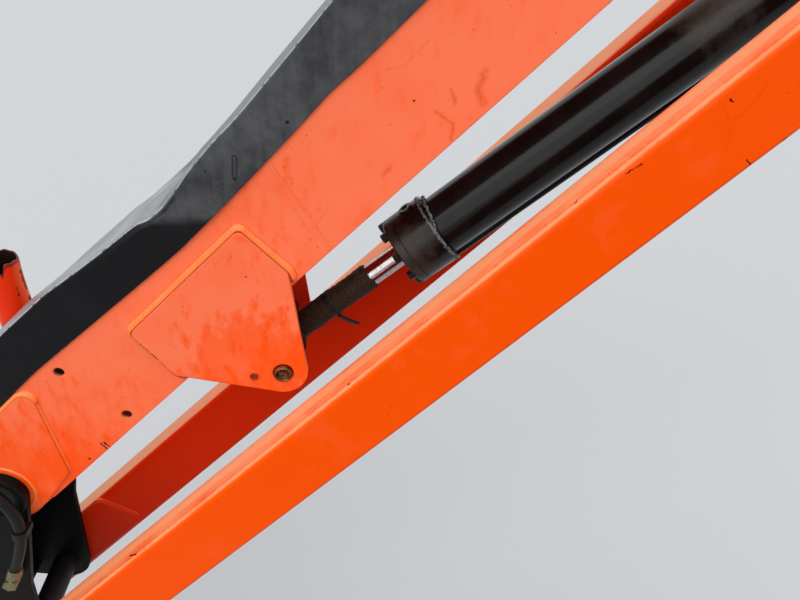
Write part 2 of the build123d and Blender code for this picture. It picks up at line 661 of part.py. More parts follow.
boss_rim = ((boss_end, LEVEL_HUB_R), (boss_end, LEVEL_HUB_R - LEVEL_BOSS_WALL))
boss_profile = rounded(boss_profile, LEVEL_BOSS_ROUND, *boss_rim)
near_axis = Plane(origin=(tip_x, 0, tip_z), x_dir=(1, 0, 0), z_dir=(0, -1, 0))
level_plate += turned(boss_profile, near_axis)
parts["level_plate_near"] = level_plate
parts["level_plate_far"] = other_side(level_plate)

# its web, with two ribs welded across between the plates
level_web_x = level_face_x + LEVEL_WEB / 2
level_web_height = LEVEL_FACE_TOP - LEVEL_FACE_BOTTOM
level_web = Pos(level_web_x, 0, level_mid_z) * Box(LEVEL_WEB, 2 * plate_inner, level_web_height)
for z in (LEVEL_FACE_TOP - LEVEL_RIB_IN, LEVEL_FACE_BOTTOM + LEVEL_RIB_IN):
    rib = Box(LEVEL_RIB_REACH, 2 * plate_inner, LEVEL_RIB)
    level_web += Pos(level_face_x + LEVEL_RIB_REACH / 2, 0, tip_z + z) * rib
parts["level_web"] = level_web

# Rotator housing: a turned body with a flange at each end, and two feet bolted to the bracket
rotator_x = level_face_x - ROTATOR_STANDOFF
half_height = ROTATOR_HEIGHT / 2
housing_profile = face(
    (
        (-half_height, 0.0),
        (-half_height, ROTATOR_FLANGE_R - ROTATOR_CHAMFER),
        (-half_height + ROTATOR_CHAMFER, ROTATOR_FLANGE_R),
        (-half_height + ROTATOR_FLANGE, ROTATOR_FLANGE_R),
        (-half_height + ROTATOR_FLANGE, ROTATOR_R),
        (half_height - ROTATOR_FLANGE, ROTATOR_R),
        (half_height - ROTATOR_FLANGE, ROTATOR_FLANGE_R),
        (half_height - ROTATOR_CHAMFER, ROTATOR_FLANGE_R),
        (half_height, ROTATOR_FLANGE_R - ROTATOR_CHAMFER),
        (half_height, 0.0),
    )
)
upright_axis = Plane(origin=(rotator_x, 0, level_mid_z), x_dir=(1, 0, 0), z_dir=(0, 0, 1))
housing = turned(housing_profile, upright_axis)
foot_at = Pos(ROTATOR_STANDOFF - ROTATOR_FOOT / 2, 0)
foot_outline = hull(Circle(ROTATOR_R), foot_at * Rectangle(ROTATOR_FOOT, ROTATOR_R))
foot_outline = foot_outline + foot_at * Rectangle(ROTATOR_FOOT, ROTATOR_FOOT_WIDTH)
for z in (-ROTATOR_FOOT_OFF, ROTATOR_FOOT_OFF):
    foot_plane = Plane(origin=(rotator_x, 0, level_mid_z + z), x_dir=(1, 0, 0), z_dir=(0, 0, 1))
    housing += extrude(foot_plane * foot_outline, ROTATOR_FOOT_HEIGHT / 2, both=True)
parts["rotator_body"] = housing

# Turning part: caps on the shaft's ends, straddle plates on the caps, and the plate the platform bolts to
cap_z = half_height + ROTATOR_CAP_GAP + ROTATOR_CAP / 2
cap = Pos(rotator_x, 0, level_mid_z) * Cylinder(ROTATOR_CAP_R, ROTATOR_CAP)
parts["rotator_caps"] = Compound(children=[Pos(0, 0, cap_z) * cap, Pos(0, 0, -cap_z) * cap])

straddle_z = cap_z + (ROTATOR_CAP + MOUNT_PLATE) / 2
neck_x = MOUNT_REACH - MOUNT_PLATE
neck_strip = Pos(-neck_x + ROTATOR_CAP_GAP, 0) * Rectangle(2 * ROTATOR_CAP_GAP, MOUNT_NECK_WIDTH)
straddle_outline = hull(Circle(ROTATOR_CAP_R), neck_strip)
straddles = []
for z in (straddle_z, -straddle_z):
    middle = Plane(origin=(rotator_x, 0, level_mid_z + z), x_dir=(1, 0, 0), z_dir=(0, 0, 1))
    straddles.append(extrude(middle * straddle_outline, MOUNT_PLATE / 2, both=True))
parts["mount_straddles"] = Compound(children=straddles)

mount_height = 2 * straddle_z + MOUNT_PLATE
mount_x = rotator_x - MOUNT_REACH
mount_outline = RectangleRounded(MOUNT_PLATE_WIDTH, mount_height, MOUNT_PLATE_CORNER_R)
mount_outline -= GridLocations(MOUNT_BOLT_ACROSS, MOUNT_BOLT_UP, 2, 2) * Circle(MOUNT_BOLT_R)
mount_plane = Plane(origin=(mount_x, 0, level_mid_z), x_dir=(0, 1, 0), z_dir=(1, 0, 0))
parts["platform_mount"] = extrude(mount_plane * mount_outline, MOUNT_PLATE)

# Guide tube, standing on a saddle that is welded to the arm's far side
guide_x = tip_x + GUIDE_TUBE_X
guide_y = doubler_face + GUIDE_TUBE_R
guide_height = GUIDE_TUBE_HIGH - GUIDE_TUBE_LOW
guide_at = Pos(guide_x, guide_y, tip_z + (GUIDE_TUBE_LOW + GUIDE_TUBE_HIGH) / 2)
guide_tube = guide_at * Cylinder(GUIDE_TUBE_R, guide_height)
saddle_at = Pos(guide_x, doubler_face + GUIDE_TUBE_R / 2, tip_z + GUIDE_TUBE_LOW + GUIDE_SADDLE / 2)
guide_tube += saddle_at * Box(GUIDE_SADDLE, GUIDE_TUBE_R, GUIDE_SADDLE)
guide_tube -= guide_at * Cylinder(GUIDE_TUBE_R - GUIDE_TUBE_WALL, guide_height)
parts["guide_tube"] = guide_tube


# Hose
def route_radii(points):
    """The largest arc for each corner: 0.45 of the shorter run, over the tangent of half the turn."""
    radii = []
    for before, here, after in zip(points, points[1:], points[2:]):
        turn = radians((here - before).get_angle(after - here))
        radii.append(0.45 * min((here - before).length, (after - here).length) / tan(turn / 2))
    return radii


route = [Vector(tip_x + x, -plate_outer - HOSE_OFF, tip_z + z) for x, z in HOSE_ROUTE]
hose_path = FilletPolyline(*route, radius=route_radii(route))
hose_start = Plane(origin=route[0], z_dir=route[1] - route[0])
parts["bracket_hose"] = sweep(hose_start * Circle(HOSE_R), path=hose_path)
print("hose radii", [round(r) for r in route_radii(route)], "length", round(hose_path.length))

fittings = []
for end, inward in ((route[0], route[1] - route[0]), (route[-1], route[-2] - route[-1])):
    elbow = end - inward.normalized() * HOSE_FERRULE
    ferrule = extrude(Plane(origin=elbow, z_dir=inward) * Circle(HOSE_FERRULE_R), HOSE_FERRULE)
    nut_plane = Plane(origin=(elbow.X, -plate_outer, elbow.Z), x_dir=(1, 0, 0), z_dir=(0, -1, 0))
    nut = extrude(nut_plane * RegularPolygon(HOSE_FITTING_R, 6), HOSE_OFF + HOSE_FITTING_R)
    fittings.append(ferrule + nut)
parts["hose_fittings"] = Compound(children=fittings)

clip_dir = route[HOSE_CLIP_RUN + 1] - route[HOSE_CLIP_RUN]
clip_middle = (route[HOSE_CLIP_RUN] + route[HOSE_CLIP_RUN + 1]) / 2
clip_start = clip_middle - clip_dir.normalized() * (HOSE_CLIP_LENGTH / 2)
clip_plane = Plane(origin=clip_start, x_dir=(0, 1, 0), z_dir=clip_dir)
clip_section = Circle(HOSE_CLIP_R) + Pos(HOSE_OFF / 2, 0) * Rectangle(HOSE_OFF, 2 * HOSE_CLIP_R)
clip_section -= Circle(HOSE_R + SEAT_GAP)
parts["hose_clip"] = extrude(clip_plane * clip_section, HOSE_CLIP_LENGTH)

os.makedirs("parts", exist_ok=True)
for name, shape in parts.items():
    export_step(shape, f"parts/{name}.step")

cylinder_slope = degrees(atan2(-cylinder_dir[1], -cylinder_dir[0]))
print("tip pin", round(tip_x, 1), round(tip_z, 1), "rod pin", round(rod_pin_x, 1), round(rod_pin_z, 1))
print("cylinder pin to pin", round(cylinder_length, 1), "slope", round(cylinder_slope, 2))
print("rotator axis x", round(rotator_x, 1), "mount face x", round(mount_x, 1), "z", round(level_mid_z, 1))
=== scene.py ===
# %% [markdown]
# # The jib arm of a telescopic boom lift
# The steelwork comes in as a fixed frame, at its real size. This lesson gives it the surfaces of a machine that
# has worked for years and stands in the rain: sprayed orange enamel with grease and stains, a dented black hose
# cover, a gloss black lift cylinder, and the dried dirt on its rod. It also adds what a welder and a fitter
# leave behind: beads, bolts, a cable tie.

# %% Load the frame
import json
import bmesh
import bpy
import numpy as np
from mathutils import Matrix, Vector


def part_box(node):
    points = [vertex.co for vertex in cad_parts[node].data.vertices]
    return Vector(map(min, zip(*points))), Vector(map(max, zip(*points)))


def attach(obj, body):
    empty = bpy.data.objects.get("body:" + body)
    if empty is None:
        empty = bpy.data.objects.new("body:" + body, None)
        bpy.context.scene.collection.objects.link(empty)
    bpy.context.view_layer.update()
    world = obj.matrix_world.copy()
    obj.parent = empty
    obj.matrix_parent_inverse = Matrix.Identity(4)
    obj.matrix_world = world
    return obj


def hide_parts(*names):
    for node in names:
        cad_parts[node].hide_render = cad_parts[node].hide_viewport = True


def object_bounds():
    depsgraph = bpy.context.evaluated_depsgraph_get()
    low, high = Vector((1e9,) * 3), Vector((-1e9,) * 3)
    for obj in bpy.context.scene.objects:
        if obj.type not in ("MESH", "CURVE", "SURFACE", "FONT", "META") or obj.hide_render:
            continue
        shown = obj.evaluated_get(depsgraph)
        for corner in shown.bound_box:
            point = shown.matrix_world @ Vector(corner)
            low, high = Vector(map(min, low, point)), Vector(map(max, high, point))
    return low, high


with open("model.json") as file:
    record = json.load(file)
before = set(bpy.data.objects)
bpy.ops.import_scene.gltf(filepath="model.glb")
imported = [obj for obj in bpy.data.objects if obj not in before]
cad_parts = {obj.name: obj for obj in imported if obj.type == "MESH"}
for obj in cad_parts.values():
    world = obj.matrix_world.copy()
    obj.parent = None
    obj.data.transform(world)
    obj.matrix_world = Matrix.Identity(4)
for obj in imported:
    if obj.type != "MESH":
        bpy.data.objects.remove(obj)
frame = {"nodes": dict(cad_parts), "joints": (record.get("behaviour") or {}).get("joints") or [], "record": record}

cad_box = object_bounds()
print("frame", [[round(x, 3) for x in corner] for corner in cad_box])

# %% [markdown]
# ## Where things are
# Every place in this file follows from the frame. The arm runs from its base pin to its tip pin, and the links
# run beside it, so one pair of directions serves both: along the arm, and square to it, upward. The lift
# cylinder has a pair of its own. A depth is simply Y, negative on the side that the camera sees. Places on the
# machine are written in millimetres, as a fitter would measure them.

# %% Pins and directions
MM = 0.001
hinge = {j["name"]: np.array(j.get("pos_m", (0, 0, 0))) for j in frame["joints"]}
slide = {j["name"]: np.array(j["axis"]) for j in frame["joints"] if j["type"] == "slide"}
ARM_PIN, TIP_PIN = hinge["jib_hinge"], hinge["platform_level_hinge"]
LINK_PIN = hinge["link_hinge"]
ARM_LENGTH = np.linalg.norm(TIP_PIN - ARM_PIN) / MM
ALONG = (TIP_PIN - ARM_PIN) / (ARM_LENGTH * MM)
ABOVE = np.array([ALONG[2], 0, -ALONG[0]])
ACROSS = np.array([0, 1, 0])
SIDES = (-1, 1)
ENDS = ((0.0, 1), (ARM_LENGTH, -1))
ROD_WAY = slide["rod_slide"]
ROD_OVER = np.array([ROD_WAY[2], 0, -ROD_WAY[0]])
ARM_TURN = np.pi - np.arctan2(-ALONG[2], -ALONG[0])
ROD_TURN = np.pi - np.arctan2(-ROD_WAY[2], -ROD_WAY[0])
TIP_LINK_PIN = LINK_PIN + TIP_PIN - ARM_PIN


def beside(pin, way, over, along, above, depth):
    """Points in metres: the pin, plus along times the way, plus above times its square, with depth as Y."""
    along, above, depth = np.broadcast_arrays(np.asarray(along, float), above, depth)
    points = along[..., None] * way + above[..., None] * over
    points[..., 1] += depth
    return pin + points * MM


def reach(node, pin, way):
    """How far a node's mesh goes from a pin along a direction, lowest and highest, in millimetres."""
    mesh = frame["nodes"][node].data
    points = np.empty(len(mesh.vertices) * 3)
    mesh.vertices.foreach_get("co", points)
    distances = (points.reshape(-1, 3) - pin) @ way / MM
    return distances.min(), distances.max()


def box_corners(node):
    """The lowest and the highest corner of a node's box, in metres."""
    return (np.array(corner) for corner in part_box(node))


ARM_SIDE, DOUBLER_FACE, PLATE_FACE = (
    -reach(node, ARM_PIN, ACROSS)[0] for node in ("arm_box", "arm_tip_doublers", "bracket_plate_near")
)
LINK_OUTER, LINK_INNER = (-face for face in reach("link_near", ARM_PIN, ACROSS))
BARREL_START, BARREL_END = reach("barrel", LINK_PIN, ROD_WAY)
GLAND_FACE = reach("gland", LINK_PIN, ROD_WAY)[1]
CRUST_START, CRUST_END = reach("rod_sleeve", LINK_PIN, ROD_WAY)
print("arm", round(ARM_LENGTH, 1), "mm; side", round(ARM_SIDE, 1), "plate", round(PLATE_FACE, 1))
print("gland face", round(GLAND_FACE, 1), "crust", round(CRUST_START, 1), round(CRUST_END, 1))

# %% [markdown]
# ## The camera
# The photographer stood close, a little to the platform's side, and held the camera level but pointed down by
# 30 degrees. The lens is the wide one of a telephone. All of it was worked out from the arm's own edges.

# %% Camera
CAMERA_AT = (-1.0415, -0.768, -0.3146)
PITCH_DOWN = np.radians(30.0)
YAW = np.radians(6.0)
LENS_PIXELS = 601.0
PHOTO_WIDTH = 800.0
SENSOR = 36.0

camera = bpy.data.objects.new("camera", bpy.data.cameras.new("camera"))
camera.data.sensor_width = SENSOR
camera.data.lens = SENSOR * LENS_PIXELS / PHOTO_WIDTH
camera.location = CAMERA_AT
camera.rotation_euler = (np.pi / 2 - PITCH_DOWN, 0, -YAW)
bpy.context.scene.collection.objects.link(camera)
bpy.context.scene.camera = camera
print("camera lens", round(camera.data.lens, 2), "mm")

# %% [markdown]
# ## Nodes and colours
# Three helpers serve every material. One turns a colour as a painter reads it off a screen into the linear values
# that light is worked out with. One adds a node with its settings and links, and gives the output that the next
# node needs. One makes an empty material.

# %% Nodes and colours
def paint(colour):
    """An sRGB hex colour as linear RGBA: divided by 12.92 near black, and elsewhere raised to the power 2.4."""
    srgb = np.array([int(colour[i : i + 2], 16) for i in (1, 3, 5)]) / 255
    linear = np.where(srgb <= 0.04045, srgb / 12.92, ((srgb + 0.055) / 1.055) ** 2.4)
    return (*[float(x) for x in linear], 1.0)


def add(tree, kind, sockets=(), output=None, **settings):
    """One node with its settings, and for each socket the value it holds or the output that feeds it. The sockets
    are a dictionary, or in order from the first. Gives the output of this name or number, or else the first that is
    on."""
    made = tree.nodes.new("ShaderNode" + kind)
    for name, value in settings.items():
        setattr(made, name, value)
    for socket, value in sockets.items() if isinstance(sockets, dict) else enumerate(sockets):
        if isinstance(value, bpy.types.NodeSocket):
            tree.links.new(value, made.inputs[socket])
        else:
            made.inputs[socket].default_value = value
    return next(out for out in made.outputs if out.enabled) if output is None else made.outputs[output]


def new_finish(name):
    """A new material, its node tree and the shader in it."""
    finish = bpy.data.materials.new(name)
    finish.use_nodes = True
    return finish, finish.node_tree, finish.node_tree.nodes["Principled BSDF"]


MIX_A, MIX_B = 6, 7

# %% [markdown]
# ## Floor and light
# The sky on the day was overcast: light came from all of it, most from overhead. A white world gives the even
# part. Two suns as wide as a third of the sky give the rest, one overhead and one behind the camera, because a
# wide sun lights the whole floor alike, as an area lamp close by doesn't. The floor is a plain pale grey to the
# eye and in gloss. For the light that it throws back up it has the grey of wet asphalt, so that undersides stay
# dark, as they are in the photograph.

# %% Floor
FLOOR_DROP = 0.35
FLOOR_HALF = 60.0
floor_z = cad_box[0].z - FLOOR_DROP
floor_mesh = bpy.data.meshes.new("floor")
floor_corners = [(x, y, floor_z) for x, y in ((-1, -1), (1, -1), (1, 1), (-1, 1))]
floor_mesh.from_pydata([(x * FLOOR_HALF, y * FLOOR_HALF, z) for x, y, z in floor_corners], [], [(0, 1, 2, 3)])
floor = bpy.data.objects.new("floor", floor_mesh)
bpy.context.scene.collection.objects.link(floor)

floor_finish, floor_tree, floor_shader = new_finish("plain_pale_grey_floor")
rays = add(floor_tree, "LightPath").node.outputs
seen = add(floor_tree, "Math", (rays["Is Camera Ray"], rays["Is Glossy Ray"]), operation="MAXIMUM")
seen = add(floor_tree, "Math", (seen, rays["Is Transmission Ray"]), operation="MAXIMUM")
floor_greys = {0: seen, MIX_A: paint("#4E5052"), MIX_B: paint("#B4B6B8")}
floor_colour = add(floor_tree, "Mix", floor_greys, data_type="RGBA")
floor_tree.links.new(floor_colour, floor_shader.inputs["Base Color"])
floor_shader.inputs["Roughness"].default_value = 1.0
floor_shader.inputs["Specular IOR Level"].default_value = 0.0
floor_mesh.materials.append(floor_finish)

# %% Lamps and world
SUNS = (
    # name, strength, width in degrees, the way to it
    ("sky_overhead", 1.0, 80.0, (-0.2, -0.3, 1.0)),
    ("sky_behind_camera", 1.08, 70.0, (-0.3, -1.0, 0.5)),
)
for name, strength, width, way in SUNS:
    lamp = bpy.data.objects.new(name, bpy.data.lights.new(name, "SUN"))
    lamp.data.energy = strength
    lamp.data.angle = np.radians(width)
    lamp.rotation_euler = (-Vector(way)).to_track_quat("-Z", "Y").to_euler()
    bpy.context.scene.collection.objects.link(lamp)

world = bpy.data.worlds.new("overcast")
world.use_nodes = True
world.node_tree.nodes["Background"].inputs["Color"].default_value = paint("#FCFDFF")
world.node_tree.nodes["Background"].inputs["Strength"].default_value = 1.0
bpy.context.scene.world = world
bpy.context.scene.view_settings.view_transform = "Standard"
print("floor at", round(floor_z, 3), "m, suns", len(SUNS))

# %% [markdown]
# ## Surfaces from numbers
# Each new piece is a grid of points, worked out as whole arrays: its rows run along the piece and its columns
# round it. A shell is such a grid with the faces that close it. Several shells of one finish on one body make
# one piece. Faces are turned outward at the end, shell by shell, so no formula has to mind its direction.

# %% Grids, shells and pieces
SMOOTH_TO = np.radians(38.0)


def grid_quads(rows, columns, wrap_rows, wrap_columns):
    """The quads of a grid numbered row by row; a wrapped direction joins its last line to its first."""
    row = np.arange(rows if wrap_rows else rows - 1)[:, None]
    column = np.arange(columns if wrap_columns else columns - 1)[None]
    next_row, next_column = (row + 1) % rows, (column + 1) % columns
    corners = ((row, column), (row, next_column), (next_row, next_column), (next_row, column))
    return np.stack([r * columns + c for r, c in corners], -1).reshape(-1, 4)


def tube(rings, closed=False):
    """A shell from rings of points: quads between rings, and over each open end a fan to the ring's centre."""
    rows, columns = rings.shape[:2]
    points = rings.reshape(-1, 3)
    quads = grid_quads(rows, columns, closed, True)
    if closed:
        return points, quads, np.empty((0, 3), int)
    ring = np.arange(columns)
    last = len(points) - columns
    fans = [
        np.stack([start + ring, start + (ring + 1) % columns, np.full(columns, centre)], -1)
        for start, centre in ((0, len(points)), (last, len(points) + 1))
    ]
    return np.vstack([points, rings[:1].mean(1), rings[-1:].mean(1)]), quads, np.vstack(fans)


def sheet(outer, inner):
    """A shell from two grids, one behind the other: both as quads, and a strip of quads round their edges."""
    rows, columns = outer.shape[:2]
    count = rows * columns
    face = grid_quads(rows, columns, False, False)
    number = np.arange(count).reshape(rows, columns)
    rim = np.concatenate([number[0, :-1], number[:-1, -1], number[-1, :0:-1], number[:0:-1, 0]])
    after = np.roll(rim, -1)
    strip = np.stack([rim, after, after + count, rim + count], -1)
    points = np.vstack([outer.reshape(-1, 3), inner.reshape(-1, 3)])
    return points, np.vstack([face, face[:, ::-1] + count, strip]), np.empty((0, 3), int)


def piece(name, shells, finish, body, smooth_to=SMOOTH_TO, line=None):
    """One object from closed shells, turned outward, shaded smooth up to an angle, on a body, with the finish as its
    material. The values of line, one for each column of the grids, are kept on the points as edge_line."""
    starts = np.cumsum([0] + [len(points) for points, quads, fans in shells])
    quads = np.vstack([quads + start for (points, quads, fans), start in zip(shells, starts)])
    fans = np.vstack([fans + start for (points, quads, fans), start in zip(shells, starts)])
    mesh = bpy.data.meshes.new(name)
    mesh.from_pydata(np.vstack([shell[0] for shell in shells]).tolist(), [], quads.tolist() + fans.tolist())
    form = bmesh.new()
    form.from_mesh(mesh)
    bmesh.ops.recalc_face_normals(form, faces=form.faces)
    form.to_mesh(mesh)
    form.free()
    mesh.polygons.foreach_set("use_smooth", np.ones(len(mesh.polygons), bool))
    mesh.set_sharp_from_angle(angle=smooth_to)
    if line is not None:
        values = np.concatenate([np.resize(line, len(shell[0])) for shell in shells])
        mesh.attributes.new("edge_line", "FLOAT", "POINT").data.foreach_set("value", values)
    mesh.materials.append(finish)
    made = bpy.data.objects.new(name, mesh)
    bpy.context.scene.collection.objects.link(made)
    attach(made, body)
    print(name, len(shells), "shells,", 2 * len(quads) + len(fans), "triangles, on", body)
    return made


# %% [markdown]
# ## Paths
# A bead follows a corner between two plates, and a plate's corners are round. So a path is given by the corners
# of the plate and one radius, and it is divided into even steps, short enough for the ripples of a bead.

# %% Paths on a side, and round a pin
PATH_STEP = 1.3


def rounded(corners, radius):
    """A flat path through corners, each cut by an arc of this radius, divided into even steps."""
    corners = [np.array(corner, float) for corner in corners]
    path = [corners[:1]]
    for before, here, after in zip(corners, corners[1:], corners[2:]):
        back, on = before - here, after - here
        back, on = back / np.linalg.norm(back), on / np.linalg.norm(on)
        half = np.arccos(np.clip(back @ on, -1, 1)) / 2
        middle = back + on
        centre = here + middle / np.linalg.norm(middle) * radius / np.sin(half)
        start, end = here + back * radius / np.tan(half), here + on * radius / np.tan(half)
        first = np.arctan2(*(start - centre)[::-1])
        turn = (np.arctan2(*(end - centre)[::-1]) - first + np.pi) % (2 * np.pi) - np.pi
        angles = first + turn * np.linspace(0, 1, 9)
        path.append(centre + radius * np.stack([np.cos(angles), np.sin(angles)], -1))
    path = np.vstack([*path, corners[-1:]])
    lengths = np.concatenate([[0], np.cumsum(np.linalg.norm(np.diff(path, axis=0), axis=1))])
    at = np.linspace(0, lengths[-1], max(int(lengths[-1] / PATH_STEP), 12) + 1)
    return np.stack([np.interp(at, lengths, path[:, 0]), np.interp(at, lengths, path[:, 1])], -1)


def circle(centre, axis, radius):
    """A closed path in metres: a circle of a radius in millimetres about an axis through a centre."""
    aside = np.cross(axis, (0.3, 0.2, 0.9))
    aside = aside / np.linalg.norm(aside)
    angles = np.linspace(0, 2 * np.pi, int(2 * np.pi * radius / PATH_STEP), endpoint=False)[:, None]
    return centre + radius * MM * (np.cos(angles) * aside + np.sin(angles) * np.cross(axis, aside))


# %% [markdown]
# ## Weld beads
# A bead laid by hand is a row of frozen puddles, each a crescent that overlaps the last. The paint over it is
# thicker and smoother than on the plates, and the two corners at its feet are painted dark, as painted shade. A
# bump map can't give its outline against the sky, so a bead here is a real tube in the corner, of which a quarter
# shows, a little flatter than round.

# %% Beads
BEAD_COLUMNS = 16
BEAD_POWER = 1.55
PUDDLE = 5.0
BEAD_ANGLE = np.linspace(0, 2 * np.pi, BEAD_COLUMNS, endpoint=False)
# high where the bead meets the plates: its feet, which the finish paints dark as painted shade
BEAD_FEET = (1 - np.abs(np.sin(2 * BEAD_ANGLE))) * (0.72 + 0.28 * np.sin(BEAD_ANGLE) ** 2)


def bead(path, radius, outward, closed=False, ripple=0.09):
    """A tube along a path in metres, its section the curve |x|^p + |y|^p = 1. The radius is less by the ripple's
    share between puddles: the size of a sine once a puddle, whose phase lags with the square of the cosine
    round the tube. It wanders slowly by 6 percent, and at an open end it shrinks as the root of the distance."""
    ahead = np.roll(path, -1, 0) - np.roll(path, 1, 0) if closed else np.gradient(path, axis=0)
    ahead = ahead / np.linalg.norm(ahead, axis=1, keepdims=True)
    side = np.cross(np.asarray(outward, float), ahead)
    side = side / np.linalg.norm(side, axis=1, keepdims=True)
    up = np.cross(ahead, side)
    run = np.concatenate([[0], np.cumsum(np.linalg.norm(np.diff(path, axis=0), axis=1))])[:, None] / MM
    cosine, sine = np.cos(BEAD_ANGLE), np.sin(BEAD_ANGLE)
    puddle = np.abs(np.sin(np.pi * (run / PUDDLE - 0.4 * cosine**2)))
    size = radius * (1 - ripple + ripple * puddle + 0.04 * np.sin(run / 23 + 1) + 0.02 * np.sin(run / 7.3))
    size = size / (np.abs(cosine) ** BEAD_POWER + np.abs(sine) ** BEAD_POWER) ** (1 / BEAD_POWER)
    if not closed:
        size = size * np.sqrt(np.clip(np.minimum(run, run[-1] - run) / radius, 0.02, 1))
    ring = cosine[:, None] * side[:, None] + sine[:, None] * up[:, None]
    return tube(path[:, None] + size[..., None] * MM * ring, closed)


def side_beads(pin, line, corner_radius, depth, radius, ripple=0.09):
    """A bead on each side of the arm or the links: a flat path in their directions, at a depth, facing outward."""
    path = rounded(line, corner_radius)
    return [
        bead(beside(pin, ALONG, ABOVE, path[:, 0], path[:, 1], side * depth), radius, side * ACROSS, ripple=ripple)
        for side in SIDES
    ]


def ring_beads(pin, face, ring, radius):
    """A bead round a tube or bush on the outer face of the plate at each side."""
    return [
        bead(circle(pin + side * face * MM * ACROSS, ACROSS, ring), radius, side * ACROSS, closed=True)
        for side in SIDES
    ]


# %% [markdown]
# ## Turned and six-sided things
# Bolts, nuts, washers, nipples and bosses are all profiles turned about an axis. A bolt's head is six-sided
# because its radius follows the distance to a hexagon's flats, and its top is round where the lathe has cut
# the corners off.

# %% Turned shells
TURNED_COLUMNS = 36


def turned(profile, centre, axis, hexagon_at=()):
    """A profile of (distance along the axis, radius) turned about the axis. For the rows in hexagon_at the radius
    is half the width across flats, divided by the cosine of the angle from the nearest flat's middle."""
    axis = np.array(axis, float) / np.linalg.norm(axis)
    aside = np.cross(axis, (0.31, 0.17, 0.93))
    aside = aside / np.linalg.norm(aside)
    angle = np.linspace(0, 2 * np.pi, TURNED_COLUMNS, endpoint=False)
    to_flat = (angle + np.pi / 6) % (np.pi / 3) - np.pi / 6
    radius = np.array([r for distance, r in profile])[:, None] * np.ones(TURNED_COLUMNS)
    for row in hexagon_at:
        radius[row] /= np.cos(to_flat)
    ring = np.cos(angle)[:, None] * aside + np.sin(angle)[:, None] * np.cross(axis, aside)
    distance = np.array([d for d, r in profile])[:, None, None]
    return tube(centre + MM * (distance * axis + radius[..., None] * ring))


def bolt(centre, axis, flats, head, washer=0.0):
    """A hexagon head on a plate: an optional washer, six flats, and a turned top three quarters as wide."""
    half = flats / 2
    low = 2.0 if washer else 0.0
    profile = [(-2.0, half), (low, half), (low + head * 0.86, half), (low + head, half * 0.93), (low + head, 0.5)]
    shells = [turned(profile, centre, axis, hexagon_at=(0, 1, 2))]
    if washer:
        rim = [(-1.0, washer), (low - 0.3, washer), (low, washer - 0.3), (low, 0.5)]
        shells.append(turned(rim, centre, axis))
    return shells


# %% [markdown]
# ## The enamel
# Most of the machine is steel plate, blasted, primed and sprayed with orange alkyd enamel. On this one the sun
# has chalked it, grease and rain have wiped the chalk off in runs, and every edge has chips that show dark primer.
# Faces that look at the sky carry dust and are painted paler and pinker, as painted sky light. Faces toward the
# machine's middle and underneath are painted a darker red, as painted shade, the inside of the box near black, and
# the corners at a bead's feet dark, as painted shade. Sprayed paint isn't flat: it has the ripple called orange
# peel, a few millimetres across, and the plate under it waves over a hand's breadth. One function makes the
# finish, because arm and links differ only in how far they have chalked and in where their marks are.

# %% Marks on a surface
def side_place(tree, pin, turn=ARM_TURN):
    """Object coordinates in millimetres along a member, across it and above its pin."""
    here = add(tree, "TexCoord", output="Object")
    frame_of_side = {"Vector": here, "Location": tuple(pin), "Rotation": (0, turn, 0), "Scale": (MM, MM, -MM)}
    return add(tree, "Mapping", frame_of_side, vector_type="TEXTURE")


def marks_mask(tree, place, marks, core=0.45):
    """0 off the marks. A mark is a line between two points in millimetres, a half width, and where they are given
    its strength and the radius of a ring round it. The mark fades between the core, which is a share of the half
    width, and the half width, by the distance to the nearest point of the line or ring."""
    total = None
    for mark in marks:
        start, end, half_width, strength, ring = (*mark, *(1.0, 0.0)[len(mark) - 3 :])
        start, run = np.array(start, float), np.subtract(end, start).astype(float)
        away = add(tree, "VectorMath", (place, tuple(start)), operation="SUBTRACT")
        per_run = tuple(run / max(run @ run, 1e-6))
        share = add(tree, "VectorMath", (away, per_run), operation="DOT_PRODUCT")
        share = add(tree, "Clamp", {"Value": share})
        nearest = add(tree, "VectorMath", {0: tuple(run), "Scale": share}, operation="SCALE")
        gap = add(tree, "VectorMath", (away, nearest), operation="DISTANCE")
        if ring:
            gap = add(tree, "Math", (gap, ring), operation="SUBTRACT")
            gap = add(tree, "Math", (gap,), operation="ABSOLUTE")
        limits = {"Value": gap, "From Min": half_width, "From Max": half_width * core, "To Max": strength}
        there = add(tree, "MapRange", limits, interpolation_type="SMOOTHSTEP")
        if total is not None:
            there = add(tree, "Math", (total, there), operation="MAXIMUM")
        total = there
    return total


# %% What all sprayed paint shares
PEEL = 2.6


def chipped_edges(tree, place, radius, grain, wear, soft):
    """The normal averaged over a radius, a patchy noise of this grain, and the chips: 1 on sharp edges, where the
    averaged normal turns from the face's own, if the noise passes wear there."""
    smooth = add(tree, "Bevel", {"Radius": radius * MM}, samples=6)
    flat = add(tree, "NewGeometry", output="Normal")
    agree = add(tree, "VectorMath", (smooth, flat), operation="DOT_PRODUCT")
    edge = add(tree, "MapRange", {"Value": agree, "From Min": 0.98, "From Max": 0.88})
    patchy = add(tree, "TexNoise", {"Vector": place, "Scale": 1 / grain, "Detail": 6.0, "Roughness": 0.7})
    knocked = add(tree, "MapRange", {"Value": patchy, "From Min": wear, "From Max": wear + soft})
    return smooth, patchy, add(tree, "Math", (edge, knocked), operation="MULTIPLY")


